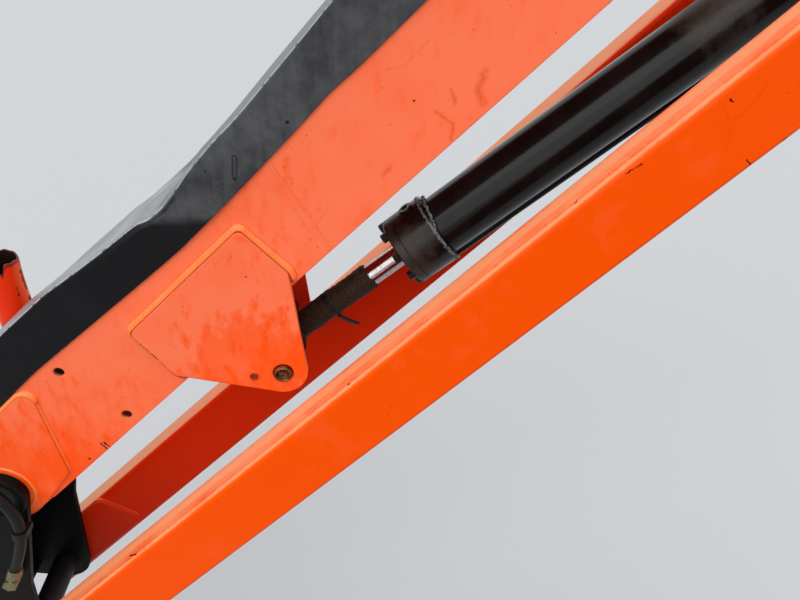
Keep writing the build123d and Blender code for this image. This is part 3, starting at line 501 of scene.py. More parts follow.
def sprayed_surface(tree, shader, colour, rough, level, place, smooth, bare, wave_size, wave, chip_depth, height_mm):
    """Joins colour and roughness to the shader, and lifts the surface by orange peel, a slower wave of this size
    and share, and the chips, which lie lower."""
    tree.links.new(colour, shader.inputs["Base Color"])
    tree.links.new(rough, shader.inputs["Roughness"])
    shader.inputs["Specular IOR Level"].default_value = level
    peel = add(tree, "TexNoise", {"Vector": place, "Scale": 1 / PEEL, "Detail": 2.0})
    slow = add(tree, "TexNoise", {"Vector": place, "Scale": 1 / wave_size, "Detail": 1.0})
    height = add(tree, "Math", (slow, wave, peel), operation="MULTIPLY_ADD")
    height = add(tree, "Math", (bare, -chip_depth, height), operation="MULTIPLY_ADD")
    bump = add(tree, "Bump", {"Height": height, "Distance": height_mm * MM, "Strength": 1.0, "Normal": smooth})
    tree.links.new(bump, shader.inputs["Normal"])


# %% Weathered orange enamel
def orange_enamel(
    name, pin, chalk, smears, chips, washed=(), dust_and_highlight_bands=(), wear=0.62, deep="#FF5200", pale="#FF774E", level=0.25,
    dirt="#9C2E0C",
):
    """Alkyd enamel, sprayed. Chalk from 0 to 1 by slow noise, less in runs that follow gravity, in smears and in
    washed places; dust, with paler paint as painted sky light, on what faces the sky, more in listed bands, of
    which one on the links is a painted highlight; painted shade, a darker red, on what faces the machine's middle
    or the ground, and near black inside the box; specks of grime; chips down to primer on edges and where they are
    listed, where some listed marks are painted shade; painted shade in the corners beside beads."""
    finish, tree, shader = new_finish(name)
    place = side_place(tree, pin)
    upright = add(tree, "TexCoord", output="Object")
    normal = add(tree, "NewGeometry", output="Normal")

    # the chalk: cloudy at 90 mm, with blotches drawn out downward, 13 mm wide and 30 mm long
    cloud = add(tree, "TexNoise", {"Vector": place, "Scale": 1 / 90, "Detail": 5.0, "Roughness": 0.6})
    film = add(tree, "MapRange", {"Value": cloud, "From Min": 0.3, "From Max": 0.62,
                                  "To Min": chalk - 0.3, "To Max": chalk + 0.1})
    drawn = add(tree, "Mapping", {"Vector": upright, "Scale": (1 / 0.013, 1 / 0.02, 1 / 0.03)})
    runs = add(tree, "TexNoise", {"Vector": drawn, "Scale": 1.0, "Detail": 5.0, "Roughness": 0.62})
    streak = add(tree, "MapRange", {"Value": runs, "From Min": 0.54, "From Max": 0.74, "To Max": 0.4})
    film = add(tree, "Math", (film, streak), operation="SUBTRACT")

    # smears and chips have ragged sides, and a smear is broken up
    noise = add(tree, "TexNoise", {"Vector": place, "Scale": 1 / 6, "Detail": 3.0})
    ragged = add(tree, "VectorMath", (noise.node.outputs["Color"], (0.5, 0.5, 0.5)), operation="SUBTRACT")
    ragged = add(tree, "VectorMath", {0: ragged, "Scale": 6.0}, operation="SCALE")
    ragged = add(tree, "VectorMath", (place, ragged), operation="ADD")
    broken = add(tree, "MapRange", {"Value": noise, "From Min": 0.36, "From Max": 0.56, "To Min": 0.4})
    smear = add(tree, "Math", (marks_mask(tree, ragged, smears, 0.0), broken), operation="MULTIPLY")
    chip_and_shade = marks_mask(tree, ragged, chips)
    film = add(tree, "Math", (smear, -0.6, film), operation="MULTIPLY_ADD")
    for centre, radius, strength, soft in washed:
        away = add(tree, "VectorMath", (place, centre), operation="DISTANCE")
        away = add(tree, "Math", (runs, -190.0, away), operation="MULTIPLY_ADD")
        limits = {"Value": away, "From Min": radius - 95 + soft, "From Max": radius - 95 - soft, "To Max": strength}
        clean = add(tree, "MapRange", limits, interpolation_type="SMOOTHSTEP")
        film = add(tree, "Math", (film, clean), operation="SUBTRACT")
    film = add(tree, "Clamp", {"Value": film})
    colour = add(tree, "Mix", {0: film, MIX_A: paint(deep), MIX_B: paint(pale)}, data_type="RGBA")

    # dust, with paler paint as painted sky light, where the sky is overhead; painted shade, a darker red, on faces
    # toward the middle and underneath, and near black inside the box
    upward = add(tree, "SeparateXYZ", (normal,), 2)
    dust_and_sky_light = add(tree, "MapRange", {"Value": upward, "From Min": 0.4, "From Max": 0.76})
    thick = add(tree, "MapRange", {"Value": cloud, "From Min": 0.3, "From Max": 0.6, "To Min": 0.2, "To Max": 0.75})
    # listed bands add dust on upward faces; on the links one of them is a painted highlight
    if dust_and_highlight_bands:
        thick = add(tree, "Math", (thick, marks_mask(tree, ragged, dust_and_highlight_bands, 0.3)), operation="ADD")
    dust_and_sky_light = add(tree, "Math", (dust_and_sky_light, thick), operation="MULTIPLY")
    dust_and_sky_light = add(tree, "Math", (smear, -0.8, dust_and_sky_light), operation="MULTIPLY_ADD", use_clamp=True)
    colour = add(tree, "Mix", {0: dust_and_sky_light, MIX_A: colour, MIX_B: paint("#F59A68")}, data_type="RGBA")
    inward = add(tree, "VectorMath", (normal, upright), operation="MULTIPLY")
    inward = add(tree, "SeparateXYZ", (inward,), 1)
    inward = add(tree, "MapRange", {"Value": inward, "From Min": -0.02, "From Max": -0.06})
    across = add(tree, "SeparateXYZ", (upright,), 1)
    across = add(tree, "Math", (across,), operation="ABSOLUTE")
    inside = add(tree, "MapRange", {"Value": across, "From Min": 0.0815, "From Max": 0.0805})
    inside = add(tree, "Math", (inside, inward), operation="MULTIPLY")
    below = add(tree, "MapRange", {"Value": upward, "From Min": -0.4, "From Max": -0.8})
    inward = add(tree, "Math", (inward, below), operation="MAXIMUM")
    inside_painted_shade = add(tree, "Mix", {0: inside, MIX_A: paint("#EB3000"), MIX_B: paint("#1C0804")}, data_type="RGBA")
    colour = add(tree, "Mix", {0: inward, MIX_A: colour, MIX_B: inside_painted_shade}, data_type="RGBA")

    # specks of dirt, in one cell of seven, 2 mm across, and painted shade in a bead's corners, in the same colour
    cell = add(tree, "TexVoronoi", {"Vector": place, "Scale": 1 / 11})
    picked = add(tree, "SeparateColor", {0: cell.node.outputs["Color"]})
    picked = add(tree, "Math", (picked, 0.85), operation="GREATER_THAN")
    speck = add(tree, "MapRange", {"Value": cell, "From Min": 0.13, "From Max": 0.05})
    speck = add(tree, "Math", (picked, speck), operation="MULTIPLY")
    corner = add(tree, "Attribute", output="Fac", attribute_name="edge_line")
    corner = add(tree, "MapRange", {"Value": corner, "From Min": 0.35, "From Max": 0.9})
    stain_and_shade = add(tree, "Math", (smear, 0.22, corner), operation="MULTIPLY_ADD")
    stain_and_shade = add(tree, "Math", (speck, 0.6, stain_and_shade), operation="MULTIPLY_ADD", use_clamp=True)
    colour = add(tree, "Mix", {0: stain_and_shade, MIX_A: colour, MIX_B: paint(dirt)}, data_type="RGBA")

    # chips on edges where a 10 mm noise is high
    smooth, patchy, bare = chipped_edges(tree, place, 2.2, 10, wear, 0.03)
    # listed marks count as bare primer; on the arm some of them are painted shade
    bare = add(tree, "Math", (bare, chip_and_shade), operation="MAXIMUM")
    primer = add(tree, "Mix", {0: patchy, MIX_A: paint("#0C0605"), MIX_B: paint("#641A0A")}, data_type="RGBA")
    colour = add(tree, "Mix", {0: bare, MIX_A: colour, MIX_B: primer}, data_type="RGBA")

    rough = add(tree, "MapRange", {"Value": film, "To Min": 0.3, "To Max": 0.58})
    rough = add(tree, "Math", (bare, 0.3, rough), operation="MULTIPLY_ADD", use_clamp=True)
    sprayed_surface(tree, shader, colour, rough, level, place, smooth, bare, 85.0, 9.0, 5.0, 0.05)
    return finish


# %% [markdown]
# ## Marks on the arm and on the links
# These are places where someone has wiped a greasy glove, let a chain rub or knocked the paint off. Among the
# chips are dark marks of painted shade: inside the two sight holes, in the dimple near the rod's pin, and a
# painted shadow along the gusset's edge that faces the tip. On the links' tops one band is a painted highlight.
# They are written as a fitter would report them: millimetres from the pin along the member, across it, and
# above it.

# %% Where the marks are
def marks_on(marks, depth=None, height=None):
    """The marks of one face as marks_mask reads them. A mark starts with two places on the face, each along and
    above where the face has a depth, and along and depth where it has a height."""

    def spot(along, other):
        return (along, depth, other) if height is None else (along, other, height)

    return tuple((spot(*mark[:2]), spot(*mark[2:4]), *mark[4:]) for mark in marks)


NEAR, GUSSET_FACE, LINK_FACE = -ARM_SIDE, -94, -LINK_OUTER
LINK_TOP = reach("link_near", LINK_PIN, ABOVE)[1]
ARM_SMEARS = marks_on(
    (
        (1184, 60, 1208, -50, 3.0, 0.4),
        (1190, 41, 1196, -16, 2.2, 0.35),
        (1172, -19, 1207, -26, 2.5, 0.4),
        (1178, 96, 1215, -30, 2.0, 0.3),
        (1187, 35, 1187, 35, 1.6, 0.5, 6.0),
        (1158, 68, 1158, 68, 1.6, 0.4, 5.0),
        (964, 40, 1000, 39, 1.6, 0.5),
        (1000, 39, 1022, 50, 1.6, 0.5),
        (940, -26, 957, -36, 8.5, 1.0),
        (957, -36, 962, -52, 7.5, 1.0),
        (1007, -23, 1001, -46, 3.5, 0.9),
        (1001, -46, 1014, -58, 3.5, 0.9),
        (979, -15, 985, -31, 4.0, 0.9),
        (1087, -33, 1099, -36, 5.5, 0.8),
    ),
    NEAR,
)
GUSSET_SMEARS = marks_on(((1299, 21, 1309, 17, 2.0, 0.9),), GUSSET_FACE)
GUSSET_CORNER_CHIPS = marks_on(((1275, 33, 1277, 32, 3.2),), -90)
ARM_CHIPS_AND_SHADE = (
    *marks_on(((1660, -48, 1663, -60, 2.0), (1655, -50, 1658, -60, 1.8)), NEAR),
    *marks_on(((1695, -55, 1696, -56, 2.2), (1017, 4, 1018, 4, 1.6)), NEAR),
    *GUSSET_CORNER_CHIPS,
    *marks_on(((1308, -12, 1309, -12, 1.2),), GUSSET_FACE),
    # painted shade: the dimple near the rod's pin, painted dark
    *marks_on(((1416.6, -120.7, 1416.6, -120.7, 8.5, 0.8),), -92),
    # painted shadow: a dark line along the gusset's edge that faces the tip
    *marks_on(((1475.8, 34, 1487.6, -44, 2.2, 0.75),), -93),
    # painted shade: the inside of the two sight holes, painted dark as primer
    *marks_on(((1592.6, 62.4, 1592.6, 62.4, 16.0), (1592.6, -42.6, 1592.6, -42.6, 16.0)), NEAR + 13),
)
LINK_SMEARS = (
    *marks_on(((463, 37, 470, 7, 3.5, 0.6), (470, 7, 474, -1, 4.5, 0.7), (474, -1, 486, -11, 3.5, 0.6)), LINK_FACE),
    *marks_on(((464, 12, 430, 19, 3.5, 0.6), (430, 19, 396, 33, 2.5, 0.5)), LINK_FACE),
    *marks_on(((0, -148, 1829, -148, 2.0, 0.5), (1521, -145, 1512, -147, 5.0, 1.0)), height=LINK_TOP),
)
# dust in bands on the links' tops; the band along the near top edge is a painted highlight
LINK_DUST_AND_HIGHLIGHT_BANDS = marks_on(
    (
        (0, -125, 1829, -127, 12.0, 0.7),
        (0, -154.5, 1829, -154.5, 4.0, 0.55),
        (0, 134, 1829, 134, 30.0, 0.8),
    ),
    height=LINK_TOP,
)
LINK_CHIPS = (
    *marks_on(((468, 49, 470, 50, 1.8), (456, 36, 455, 31, 1.5), (581, 44, 562, 42, 1.3)), LINK_FACE),
    *marks_on(((471, -39, 468, -48, 1.6), (431, -48, 422, -49, 2.6)), LINK_FACE),
    *marks_on(((1445, -144, 1428, -152, 2.0), (995, -150, 993, -151, 2.0)), height=LINK_TOP),
    *marks_on(((667, -109, 663, -110, 2.4), (641, -150, 638, -150, 2.0)), height=LINK_TOP),
)
ROD_PIN_ALONG, ROD_PIN_ABOVE = (sum(reach("rod_pin_stubs", ARM_PIN, way)) / 2 for way in (ALONG, ABOVE))
ARM_WASHED = (
    # centre, radius, strength, softness
    ((ROD_PIN_ALONG + 14, NEAR, ROD_PIN_ABOVE + 40), 84.0, 0.6, 17.0),
    ((ROD_PIN_ALONG - 10, NEAR, ROD_PIN_ABOVE - 10), 60.0, 0.35, 40.0),
    ((1240, NEAR, 62), 40.0, 0.35, 45.0),
    ((1690, NEAR, -50), 95.0, 0.45, 75.0),
    ((1829, NEAR, -20), 150.0, 0.5, 80.0),
)
arm_enamel = orange_enamel(
    "chalked_orange_enamel_arm", ARM_PIN, 1.0, ARM_SMEARS + GUSSET_SMEARS, ARM_CHIPS_AND_SHADE, ARM_WASHED
)
link_enamel = orange_enamel(
    "deep_orange_enamel_links", LINK_PIN, 0.0, LINK_SMEARS, LINK_CHIPS, dust_and_highlight_bands=LINK_DUST_AND_HIGHLIGHT_BANDS, level=0.08
)
# the dark colour in the beads' corners is painted shade
bead_enamel = orange_enamel(
    "thick_orange_enamel_beads", ARM_PIN, 0.6, GUSSET_SMEARS, GUSSET_CORNER_CHIPS, deep="#FF6210",
    pale="#FF8C4C", dirt="#A83200",
)
print("rod pin", round(ROD_PIN_ALONG, 1), "mm along,", round(ROD_PIN_ABOVE, 1), "mm above the arm's line")

# %% [markdown]
# ## Black paints
# The brackets and the rotator have thin black enamel, dull with road dust. The hose cover is black too, with
# scratches and runs, and with painted light: its grey dust film also stands for the sky that it reflects, its top
# is painted paler as a painted reflection of the sky, its side below the crease's height is painted darker as
# painted shade, and a pale painted highlight runs along its near bend. The lift cylinder alone has been sprayed
# glossy, and its paint is dark enough to mirror the sky as a grey stripe. Dust lies on it near its base, and on
# the gland's face. One function makes them all.

# %% Black enamel
def black_enamel(
    name, dark, dust_and_sheen_colour, rough, dust, pin, turn=ARM_TURN, level=0.5, wear=0.6, worn="#6B5D52", top_colour=None,
    extra_dust=(), shaded_below=None, marks=(),
):
    """Sprayed black paint: dust by noise at 60 mm and in runs, orange peel, edges with wear, and marks. Below a
    height the dust film fades out, as painted shade where the sheet looks at the ground. Upward faces take the top
    colour and an edge line the colour of wear; on the hose cover these are a painted sky reflection and a painted
    highlight."""
    finish, tree, shader = new_finish(name)
    place = side_place(tree, pin, turn)
    upright = add(tree, "TexCoord", output="Object")
    cloud = add(tree, "TexNoise", {"Vector": place, "Scale": 1 / 60, "Detail": 7.0, "Roughness": 0.65})
    drawn = add(tree, "Mapping", {"Vector": upright, "Scale": (1 / 0.007, 1 / 0.02, 1 / 0.09)})
    runs = add(tree, "TexNoise", {"Vector": drawn, "Scale": 1.0, "Detail": 3.0})
    both = add(tree, "Math", (runs, 0.2, cloud), operation="MULTIPLY_ADD")
    limits = {"Value": both, "From Min": 0.5, "From Max": 0.75, "To Min": dust * 0.4, "To Max": dust}
    film = add(tree, "MapRange", limits)
    # painted shade: below this height the dust film fades to the dark paint
    if shaded_below is not None:
        level_here = add(tree, "SeparateXYZ", (upright,), 2)
        level_here = add(tree, "Math", (cloud, 0.02, level_here), operation="MULTIPLY_ADD")
        limits = {"Value": level_here, "From Min": shaded_below, "From Max": shaded_below + 0.016, "To Min": 0.04}
        above_shade = add(tree, "MapRange", limits, interpolation_type="SMOOTHSTEP")
        film = add(tree, "Math", (film, above_shade), operation="MULTIPLY")
    for centre, radius in extra_dust:
        near = add(tree, "VectorMath", (place, centre), operation="DISTANCE")
        near = add(tree, "Math", (cloud, -1.2 * radius, near), operation="MULTIPLY_ADD")
        near = add(tree, "MapRange", {"Value": near, "From Min": radius * 0.4, "From Max": 0.0, "To Max": 0.8})
        film = add(tree, "Math", (film, near), operation="MAXIMUM")
    # dust on upward faces, in the top colour; on the hose cover it is also a painted sky reflection
    upward = add(tree, "NewGeometry", output="Normal")
    upward = add(tree, "SeparateXYZ", (upward,), 2)
    upward = add(tree, "MapRange", {"Value": upward, "From Min": 0.45, "From Max": 0.85, "To Max": dust})
    lying = add(tree, "Math", (cloud, 1.7), operation="MULTIPLY", use_clamp=True)
    upward = add(tree, "Math", (upward, lying), operation="MULTIPLY")
    colour = add(tree, "Mix", {0: film, MIX_A: paint(dark), MIX_B: paint(dust_and_sheen_colour)}, data_type="RGBA")
    top_paint = paint(top_colour or dust_and_sheen_colour)
    colour = add(tree, "Mix", {0: upward, MIX_A: colour, MIX_B: top_paint}, data_type="RGBA")
    if marks:
        wet = marks_mask(tree, place, marks, 0.5)
        colour = add(tree, "Mix", {0: wet, MIX_A: colour, MIX_B: paint("#070708")}, data_type="RGBA")
    smooth, patchy, bare = chipped_edges(tree, place, 1.8, 8, wear, 0.04)
    # along the edge line the colour of wear is rubbed in; on the hose cover it is a painted highlight
    line = add(tree, "Attribute", output="Fac", attribute_name="edge_line")
    rubbed_and_highlight = add(tree, "MapRange", {"Value": patchy, "From Min": wear - 0.2, "From Max": wear - 0.16})
    rubbed_and_highlight = add(tree, "Math", (line, rubbed_and_highlight), operation="MULTIPLY")
    bare = add(tree, "Math", (bare, rubbed_and_highlight), operation="MAXIMUM")
    colour = add(tree, "Mix", {0: bare, MIX_A: colour, MIX_B: paint(worn)}, data_type="RGBA")
    dull = add(tree, "MapRange", {"Value": film, "To Min": rough, "To Max": min(rough + 0.4, 0.9)})
    dull = add(tree, "Math", (bare, 0.3, dull), operation="MULTIPLY_ADD")
    sprayed_surface(tree, shader, colour, dull, level, place, smooth, bare, 40, 5.0, 4.0, 0.04)
    return finish


COVER_HALF = 87.3
COVER_MARKS = marks_on(
    (
        (1207, 96, 1224, 81, 1.4, 0.6, 2.3),
        (1225, 79.5, 1226, 79, 2.4, 0.9),
        (1242, 108, 1243, 108, 2.2, 0.7),
        (1135, 83, 1136, 83, 2.4, 0.9),
        (1239, 85, 1240, 85, 2.0, 0.7),
    ),
    -COVER_HALF,
)
bracket_enamel = black_enamel("thin_black_enamel", "#050506", "#151414", 0.36, 0.6, LINK_PIN, level=0.1)
# the grey dust film also stands for reflected sky, the pale top colour is a painted sky reflection, below the
# crease's height the film fades as painted shade, and the pale colour of wear along the near bend is a painted
# highlight
cover_enamel = black_enamel(
    "black_cover_enamel_with_painted_light", "#08070A", "#525355", 0.32, 1.0, ARM_PIN, level=0.15, wear=0.62, worn="#A9ADB0",
    top_colour="#8A8D90", shaded_below=-0.583, marks=COVER_MARKS,
)
BASE_DUST = tuple(((along, 20.0, 110.0), 130.0) for along in (95.0, 230.0, 365.0))
cylinder_enamel = black_enamel(
    "gloss_black_cylinder_enamel", "#040506", "#4A433B", 0.16, 0.1, LINK_PIN, ROD_TURN, 0.2, 0.7,
    top_colour="#0A0A0B", extra_dust=BASE_DUST,
)
FACE_DUST = (((GLAND_FACE, 0.0, 0.0), 68.0),)
gland_enamel = black_enamel(
    "dusty_gloss_black_gland_enamel", "#050506", "#463C30", 0.2, 0.12, LINK_PIN, ROD_TURN, 0.25, 0.6,
    top_colour="#101010", extra_dust=FACE_DUST,
)
ridge_enamel = black_enamel(
    "worn_black_enamel_beads", "#101112", "#484B4D", 0.3, 1.0, LINK_PIN, ROD_TURN, 0.4, 0.65, worn="#9A9C9C"
)

# %% [markdown]
# ## Bare steels, crust and rubber
# Hard chrome is ground before and after it is plated, which leaves lines round the rod that are too fine to see
# singly: they only draw a highlight out. Zinc goes dull and white in the rain. Rust is two browns at two sizes.
# The dried dirt on the rod is grease, dust and years: near black, cracked and lumpy, with no gloss but where it
# is still wet. A hose's rubber cover has a fine cloth pattern from the wrap that it was cured in.

# %% Plain metals and rubber
def bare_surface(name, dark, pale, grain, metal, rough_low, rough_high, bump_mm, stretch=(1, 1, 1), pin=LINK_PIN):
    """Two colours and two roughnesses mixed by one noise of this grain in millimetres, which also lifts it."""
    finish, tree, shader = new_finish(name)
    place = side_place(tree, pin, ROD_TURN)
    place = add(tree, "Mapping", {"Vector": place, "Scale": stretch})
    fine = add(tree, "TexNoise", {"Vector": place, "Scale": 1 / grain, "Detail": 8.0, "Roughness": 0.65})
    sharp = add(tree, "MapRange", {"Value": fine, "From Min": 0.36, "From Max": 0.66})
    colour = add(tree, "Mix", {0: sharp, MIX_A: paint(dark), MIX_B: paint(pale)}, data_type="RGBA")
    tree.links.new(colour, shader.inputs["Base Color"])
    rough = add(tree, "MapRange", {"Value": fine, "To Min": rough_low, "To Max": rough_high})
    tree.links.new(rough, shader.inputs["Roughness"])
    shader.inputs["Metallic"].default_value = metal
    shader.inputs["Specular IOR Level"].default_value = 0.5 if metal else 0.22
    smooth = add(tree, "Bevel", {"Radius": 0.8 * MM}, samples=6)
    bump = add(tree, "Bump", {"Height": fine, "Distance": bump_mm * MM, "Strength": 1.0, "Normal": smooth})
    tree.links.new(bump, shader.inputs["Normal"])
    return finish


chrome = bare_surface("ground_hard_chrome", "#857A76", "#CFCBC8", 5.0, 1.0, 0.1, 0.22, 0.01, (6, 1, 1))
zinc = bare_surface("dulled_zinc_plate", "#3C3936", "#77726A", 3.0, 1.0, 0.35, 0.6, 0.05)
passivated = bare_surface("yellow_passivated_zinc", "#5E5440", "#A79B76", 3.0, 1.0, 0.3, 0.5, 0.05)
oxide = bare_surface("black_oxide_steel", "#0B0A0A", "#1F1A18", 3.0, 0.0, 0.35, 0.6, 0.05)
greasy = bare_surface("greasy_brown_steel", "#24120A", "#9A6238", 9.0, 0.85, 0.12, 0.34, 0.2)
rust = bare_surface("brown_rust", "#2A1A12", "#8A5A38", 2.6, 0.0, 0.6, 0.95, 0.3)
crust = bare_surface("dried_grease_and_dirt", "#140C07", "#3B2A1E", 3.2, 0.0, 0.45, 1.0, 0.7)
rubber = bare_surface("cured_hose_rubber", "#070707", "#141414", 1.1, 0.0, 0.35, 0.55, 0.08)
bare_finishes = (chrome, zinc, passivated, oxide, greasy, rust, crust, rubber)
print("bare finishes", [finish.name for finish in bare_finishes])

# %% Finishes for the frame's nodes
body_of = {node: body for body, nodes in frame["record"]["behaviour"]["bodies"].items() for node in nodes}
BY_SLOT = {
    "black_enamel": bracket_enamel,
    "cover_paint": cover_enamel,
    "cylinder_paint": cylinder_enamel,
    "chromed_rod": chrome,
    "crusted_rod": crust,
    "zinc_steel": zinc,
    "rusty_steel": rust,
    "hose_rubber": rubber,
}
BY_NODE = {
    "gland": gland_enamel,
    "gland_bolts": oxide,
    "hose_fittings": passivated,
    "tip_link_pin": oxide,
    "hose_clip": oxide,
    "tip_pin": oxide,
    "rod_pin_stubs": greasy,
}
for name, node in frame["nodes"].items():
    for place in node.material_slots:
        slot = place.material.name.split(".")[0]
        enamel = link_enamel if body_of[name] == "links" else arm_enamel
        place.material = BY_NODE.get(name, BY_SLOT.get(slot, enamel))
print("dressed", len(frame["nodes"]), "nodes")

# %% [markdown]
# ## Beads on the arm
# The gussets and the doublers are welded all round where they lie on the arm's side, and left open where they
# stand free below it. The gusset's plate is thick, so its bead is large and smooth, and shows as a pale border.

# %% Arm welds
GUSSET_LEFT, GUSSET_RIGHT = 1269.6, 1474.6
GUSSET_TOP, GUSSET_SHOULDER = 36.4, -44.6
GUSSET_FLARE, BEAD_LOW = 12.0, -61.0
gusset_line = (
    (GUSSET_LEFT + 7, BEAD_LOW),
    (GUSSET_LEFT, GUSSET_SHOULDER),
    (GUSSET_LEFT, GUSSET_TOP),
    (GUSSET_RIGHT, GUSSET_TOP),
    (GUSSET_RIGHT + GUSSET_FLARE, GUSSET_SHOULDER),
    (GUSSET_RIGHT + GUSSET_FLARE - 3, BEAD_LOW),
)
gusset_shells = side_beads(ARM_PIN, gusset_line, 5.0, ARM_SIDE, 7.8, 0.05)
# the beads' feet carry the line that the finish paints dark as painted shade
piece("gusset_weld_beads", gusset_shells, bead_enamel, "arm", line=BEAD_FEET)
DOUBLER_TOP, DOUBLER_LOW = 78.4, -58.0
DOUBLER_SIDE = ((0, DOUBLER_LOW), (33, DOUBLER_LOW), (98, DOUBLER_LOW + 11), (182, DOUBLER_TOP - 11))
DOUBLER_EDGE = ((172, DOUBLER_TOP - 25), (191, DOUBLER_TOP), (74, DOUBLER_TOP), (0, 57.4))
ARM_TUBE_R = 48.0


def from_end(line, end):
    """A line whose places are counted from one end's pin toward the other end."""
    return [(end[0] + end[1] * along, above) for along, above in line]


arm_shells = []
for end in ENDS:
    arm_shells += side_beads(ARM_PIN, from_end(DOUBLER_SIDE, end), 13.0, ARM_SIDE, 3.0, 0.05)
    arm_shells += side_beads(ARM_PIN, from_end(DOUBLER_EDGE, end), 13.0, ARM_SIDE, 5.4, 0.05)
for pin in (ARM_PIN, TIP_PIN):
    arm_shells += ring_beads(pin, DOUBLER_FACE, ARM_TUBE_R, 2.2)
piece("arm_weld_beads", arm_shells, bead_enamel, "arm", line=0.6 * BEAD_FEET)

# %% Link welds
LINK_DOUBLER = ((-64, 48.8), (173, 48.8), (185, -40.8), (-64, -40.8))
LINK_BUSH_R = 31.0
link_shells = []
for end in ENDS:
    link_shells += side_beads(LINK_PIN, from_end(LINK_DOUBLER, end), 14.0, LINK_INNER, 4.6)
for pin in (LINK_PIN, TIP_LINK_PIN):
    link_shells += ring_beads(pin, LINK_OUTER, LINK_BUSH_R, 2.4)
piece("link_weld_beads", link_shells, link_enamel, "links", line=0.7 * BEAD_FEET)

# %% [markdown]
# ## Beads on the cylinder
# The gland's collar is welded to the barrel in two passes. On top they lie apart, with a dark gap between them,
# and halfway down the near side they run into one. The eye at the other end has one pass all round.

# %% Cylinder welds
PASSES_APART = 11.0
COLLAR_BEAD_R, BARREL_R = 50.6, 42.0
collar = LINK_PIN + ROD_WAY * (BARREL_END + 0.5) * MM
foot = LINK_PIN + ROD_WAY * (BARREL_START + 1.0) * MM
first_pass = circle(collar + ROD_WAY * 3.0 * MM, ROD_WAY, COLLAR_BEAD_R)
upward_share = np.clip((first_pass - collar) @ ROD_OVER / (COLLAR_BEAD_R * MM) - 0.36, 0, 1)[:, None]
middle = LINK_PIN + ROD_WAY * ((first_pass - LINK_PIN) @ ROD_WAY)[:, None]
second_pass = middle + (first_pass - middle) * (1 - 0.11 * upward_share**0.5)
turn = np.linspace(0, 2 * np.pi, len(first_pass))[:, None]
wander = np.sin(23 * turn) + np.sin(37 * turn + 1) + np.sin(61 * turn)
second_pass = second_pass - ROD_WAY * MM * (PASSES_APART * upward_share**0.55 + 0.5 * wander)
ridges = [
    bead(first_pass - ROD_WAY * MM * 0.4 * wander, 1.8, ROD_WAY, closed=True, ripple=0.2),
    bead(second_pass, 2.2, ROD_WAY, closed=True, ripple=0.26),
    bead(circle(foot, ROD_WAY, BARREL_R), 3.6, ROD_WAY, closed=True),
]
piece("cylinder_weld_beads", ridges, ridge_enamel, "barrel", line=0.5 - 0.5 * BEAD_FEET)

# %% [markdown]
# ## The hose cover
# A channel of 3 mm sheet over the arm's hoses. Something heavy has lain on it: its top has sagged, the near edge
# is folded down into a sharp crease, and the side below the crease is pushed in. The shape is a section carried
# along the arm: up the near side, round a bend, across the top, round the far bend and down. The heights of both
# edges change along the arm, and the dent is a bump added to the depth of the near side.

# %% Cover edges
# along the arm, height
COVER_NEAR_EDGE = (
    (165, 141), (700, 139), (1016, 136), (1092, 130), (1170, 124.5), (1220, 124), (1260, 121), (1284, 117),
    (1315, 114.5), (1336, 116), (1347, 121), (1355, 122.5), (1408, 127.8), (1451, 133.3), (1503, 141),
    (1585, 145), (1752, 146),
)
COVER_FAR_EDGE = (
    (165, 141), (700, 139), (1016, 134), (1125, 127), (1216, 120), (1308, 116), (1387, 120), (1416, 125),
    (1501, 131), (1582, 135), (1659, 143), (1752, 145),
)
# along the arm, height of the lower edge
COVER_SKIRT = (
    (200, 71), (1040, 71.5), (1078, 73.5), (1133, 70.5), (1228, 67.5), (1336, 66), (1390, 69), (1420, 71),
    (1610, 84), (1752, 84),
)
COVER_SHEET, COVER_BEND = 3.0, 3.3
COVER_ROWS, SIDE_COLUMNS, BEND_COLUMNS, TOP_COLUMNS = 470, 26, 9, 32
cover_from, cover_to = reach("hose_cover", ARM_PIN, ALONG)
FOLD_AT, FOLD_DEEP = 1308.0, 7.0
CREASE_Z, CREASE_OUT = -0.583, 3.0


def eased(line, at, spread):
    """The heights of a line of points at these places, averaged over a bell of this spread."""
    at, heights = np.asarray(at, float), 0.0
    places, heights_at = np.array(line, float).T
    offsets = np.linspace(-2, 2, 9)
    weights = np.exp(-(offsets**2) / 2)
    for offset, weight in zip(offsets, weights / weights.sum()):
        heights = heights + weight * np.interp(at + offset * spread, places, heights_at)
    return heights


# %% Cover surface
along = np.linspace(cover_from, cover_to, COVER_ROWS)[:, None]
near, far = eased(COVER_NEAR_EDGE, along, 4.0), eased(COVER_FAR_EDGE, along, 9.0)
low = eased(COVER_SKIRT, along, 8.0)
side_share = np.linspace(0, 1, SIDE_COLUMNS + 1)[:-1]
bend_angle = np.linspace(0, np.pi / 2, BEND_COLUMNS)
top_share = np.linspace(0, 1, TOP_COLUMNS + 2)[1:-1]
flat_half = COVER_HALF - COVER_BEND
depths = [-COVER_HALF + 0 * side_share, -flat_half - COVER_BEND * np.cos(bend_angle)]
depths += [-flat_half + 2 * flat_half * top_share, flat_half + COVER_BEND * np.sin(bend_angle)]
depths += [COVER_HALF + 0 * side_share]
depth = np.concatenate(depths) + 0 * along
near_bend, far_bend = near - COVER_BEND, far - COVER_BEND
heights = [low + (near_bend - low) * side_share, near_bend + COVER_BEND * np.sin(bend_angle)]
heights += [near + (far - near) * top_share, far_bend + COVER_BEND * np.cos(bend_angle)]
heights += [far_bend + (low - far_bend) * (side_share + side_share[1])]
height = np.concatenate(heights, axis=1)
columns = np.arange(depth.shape[1])
near_side = columns < SIDE_COLUMNS

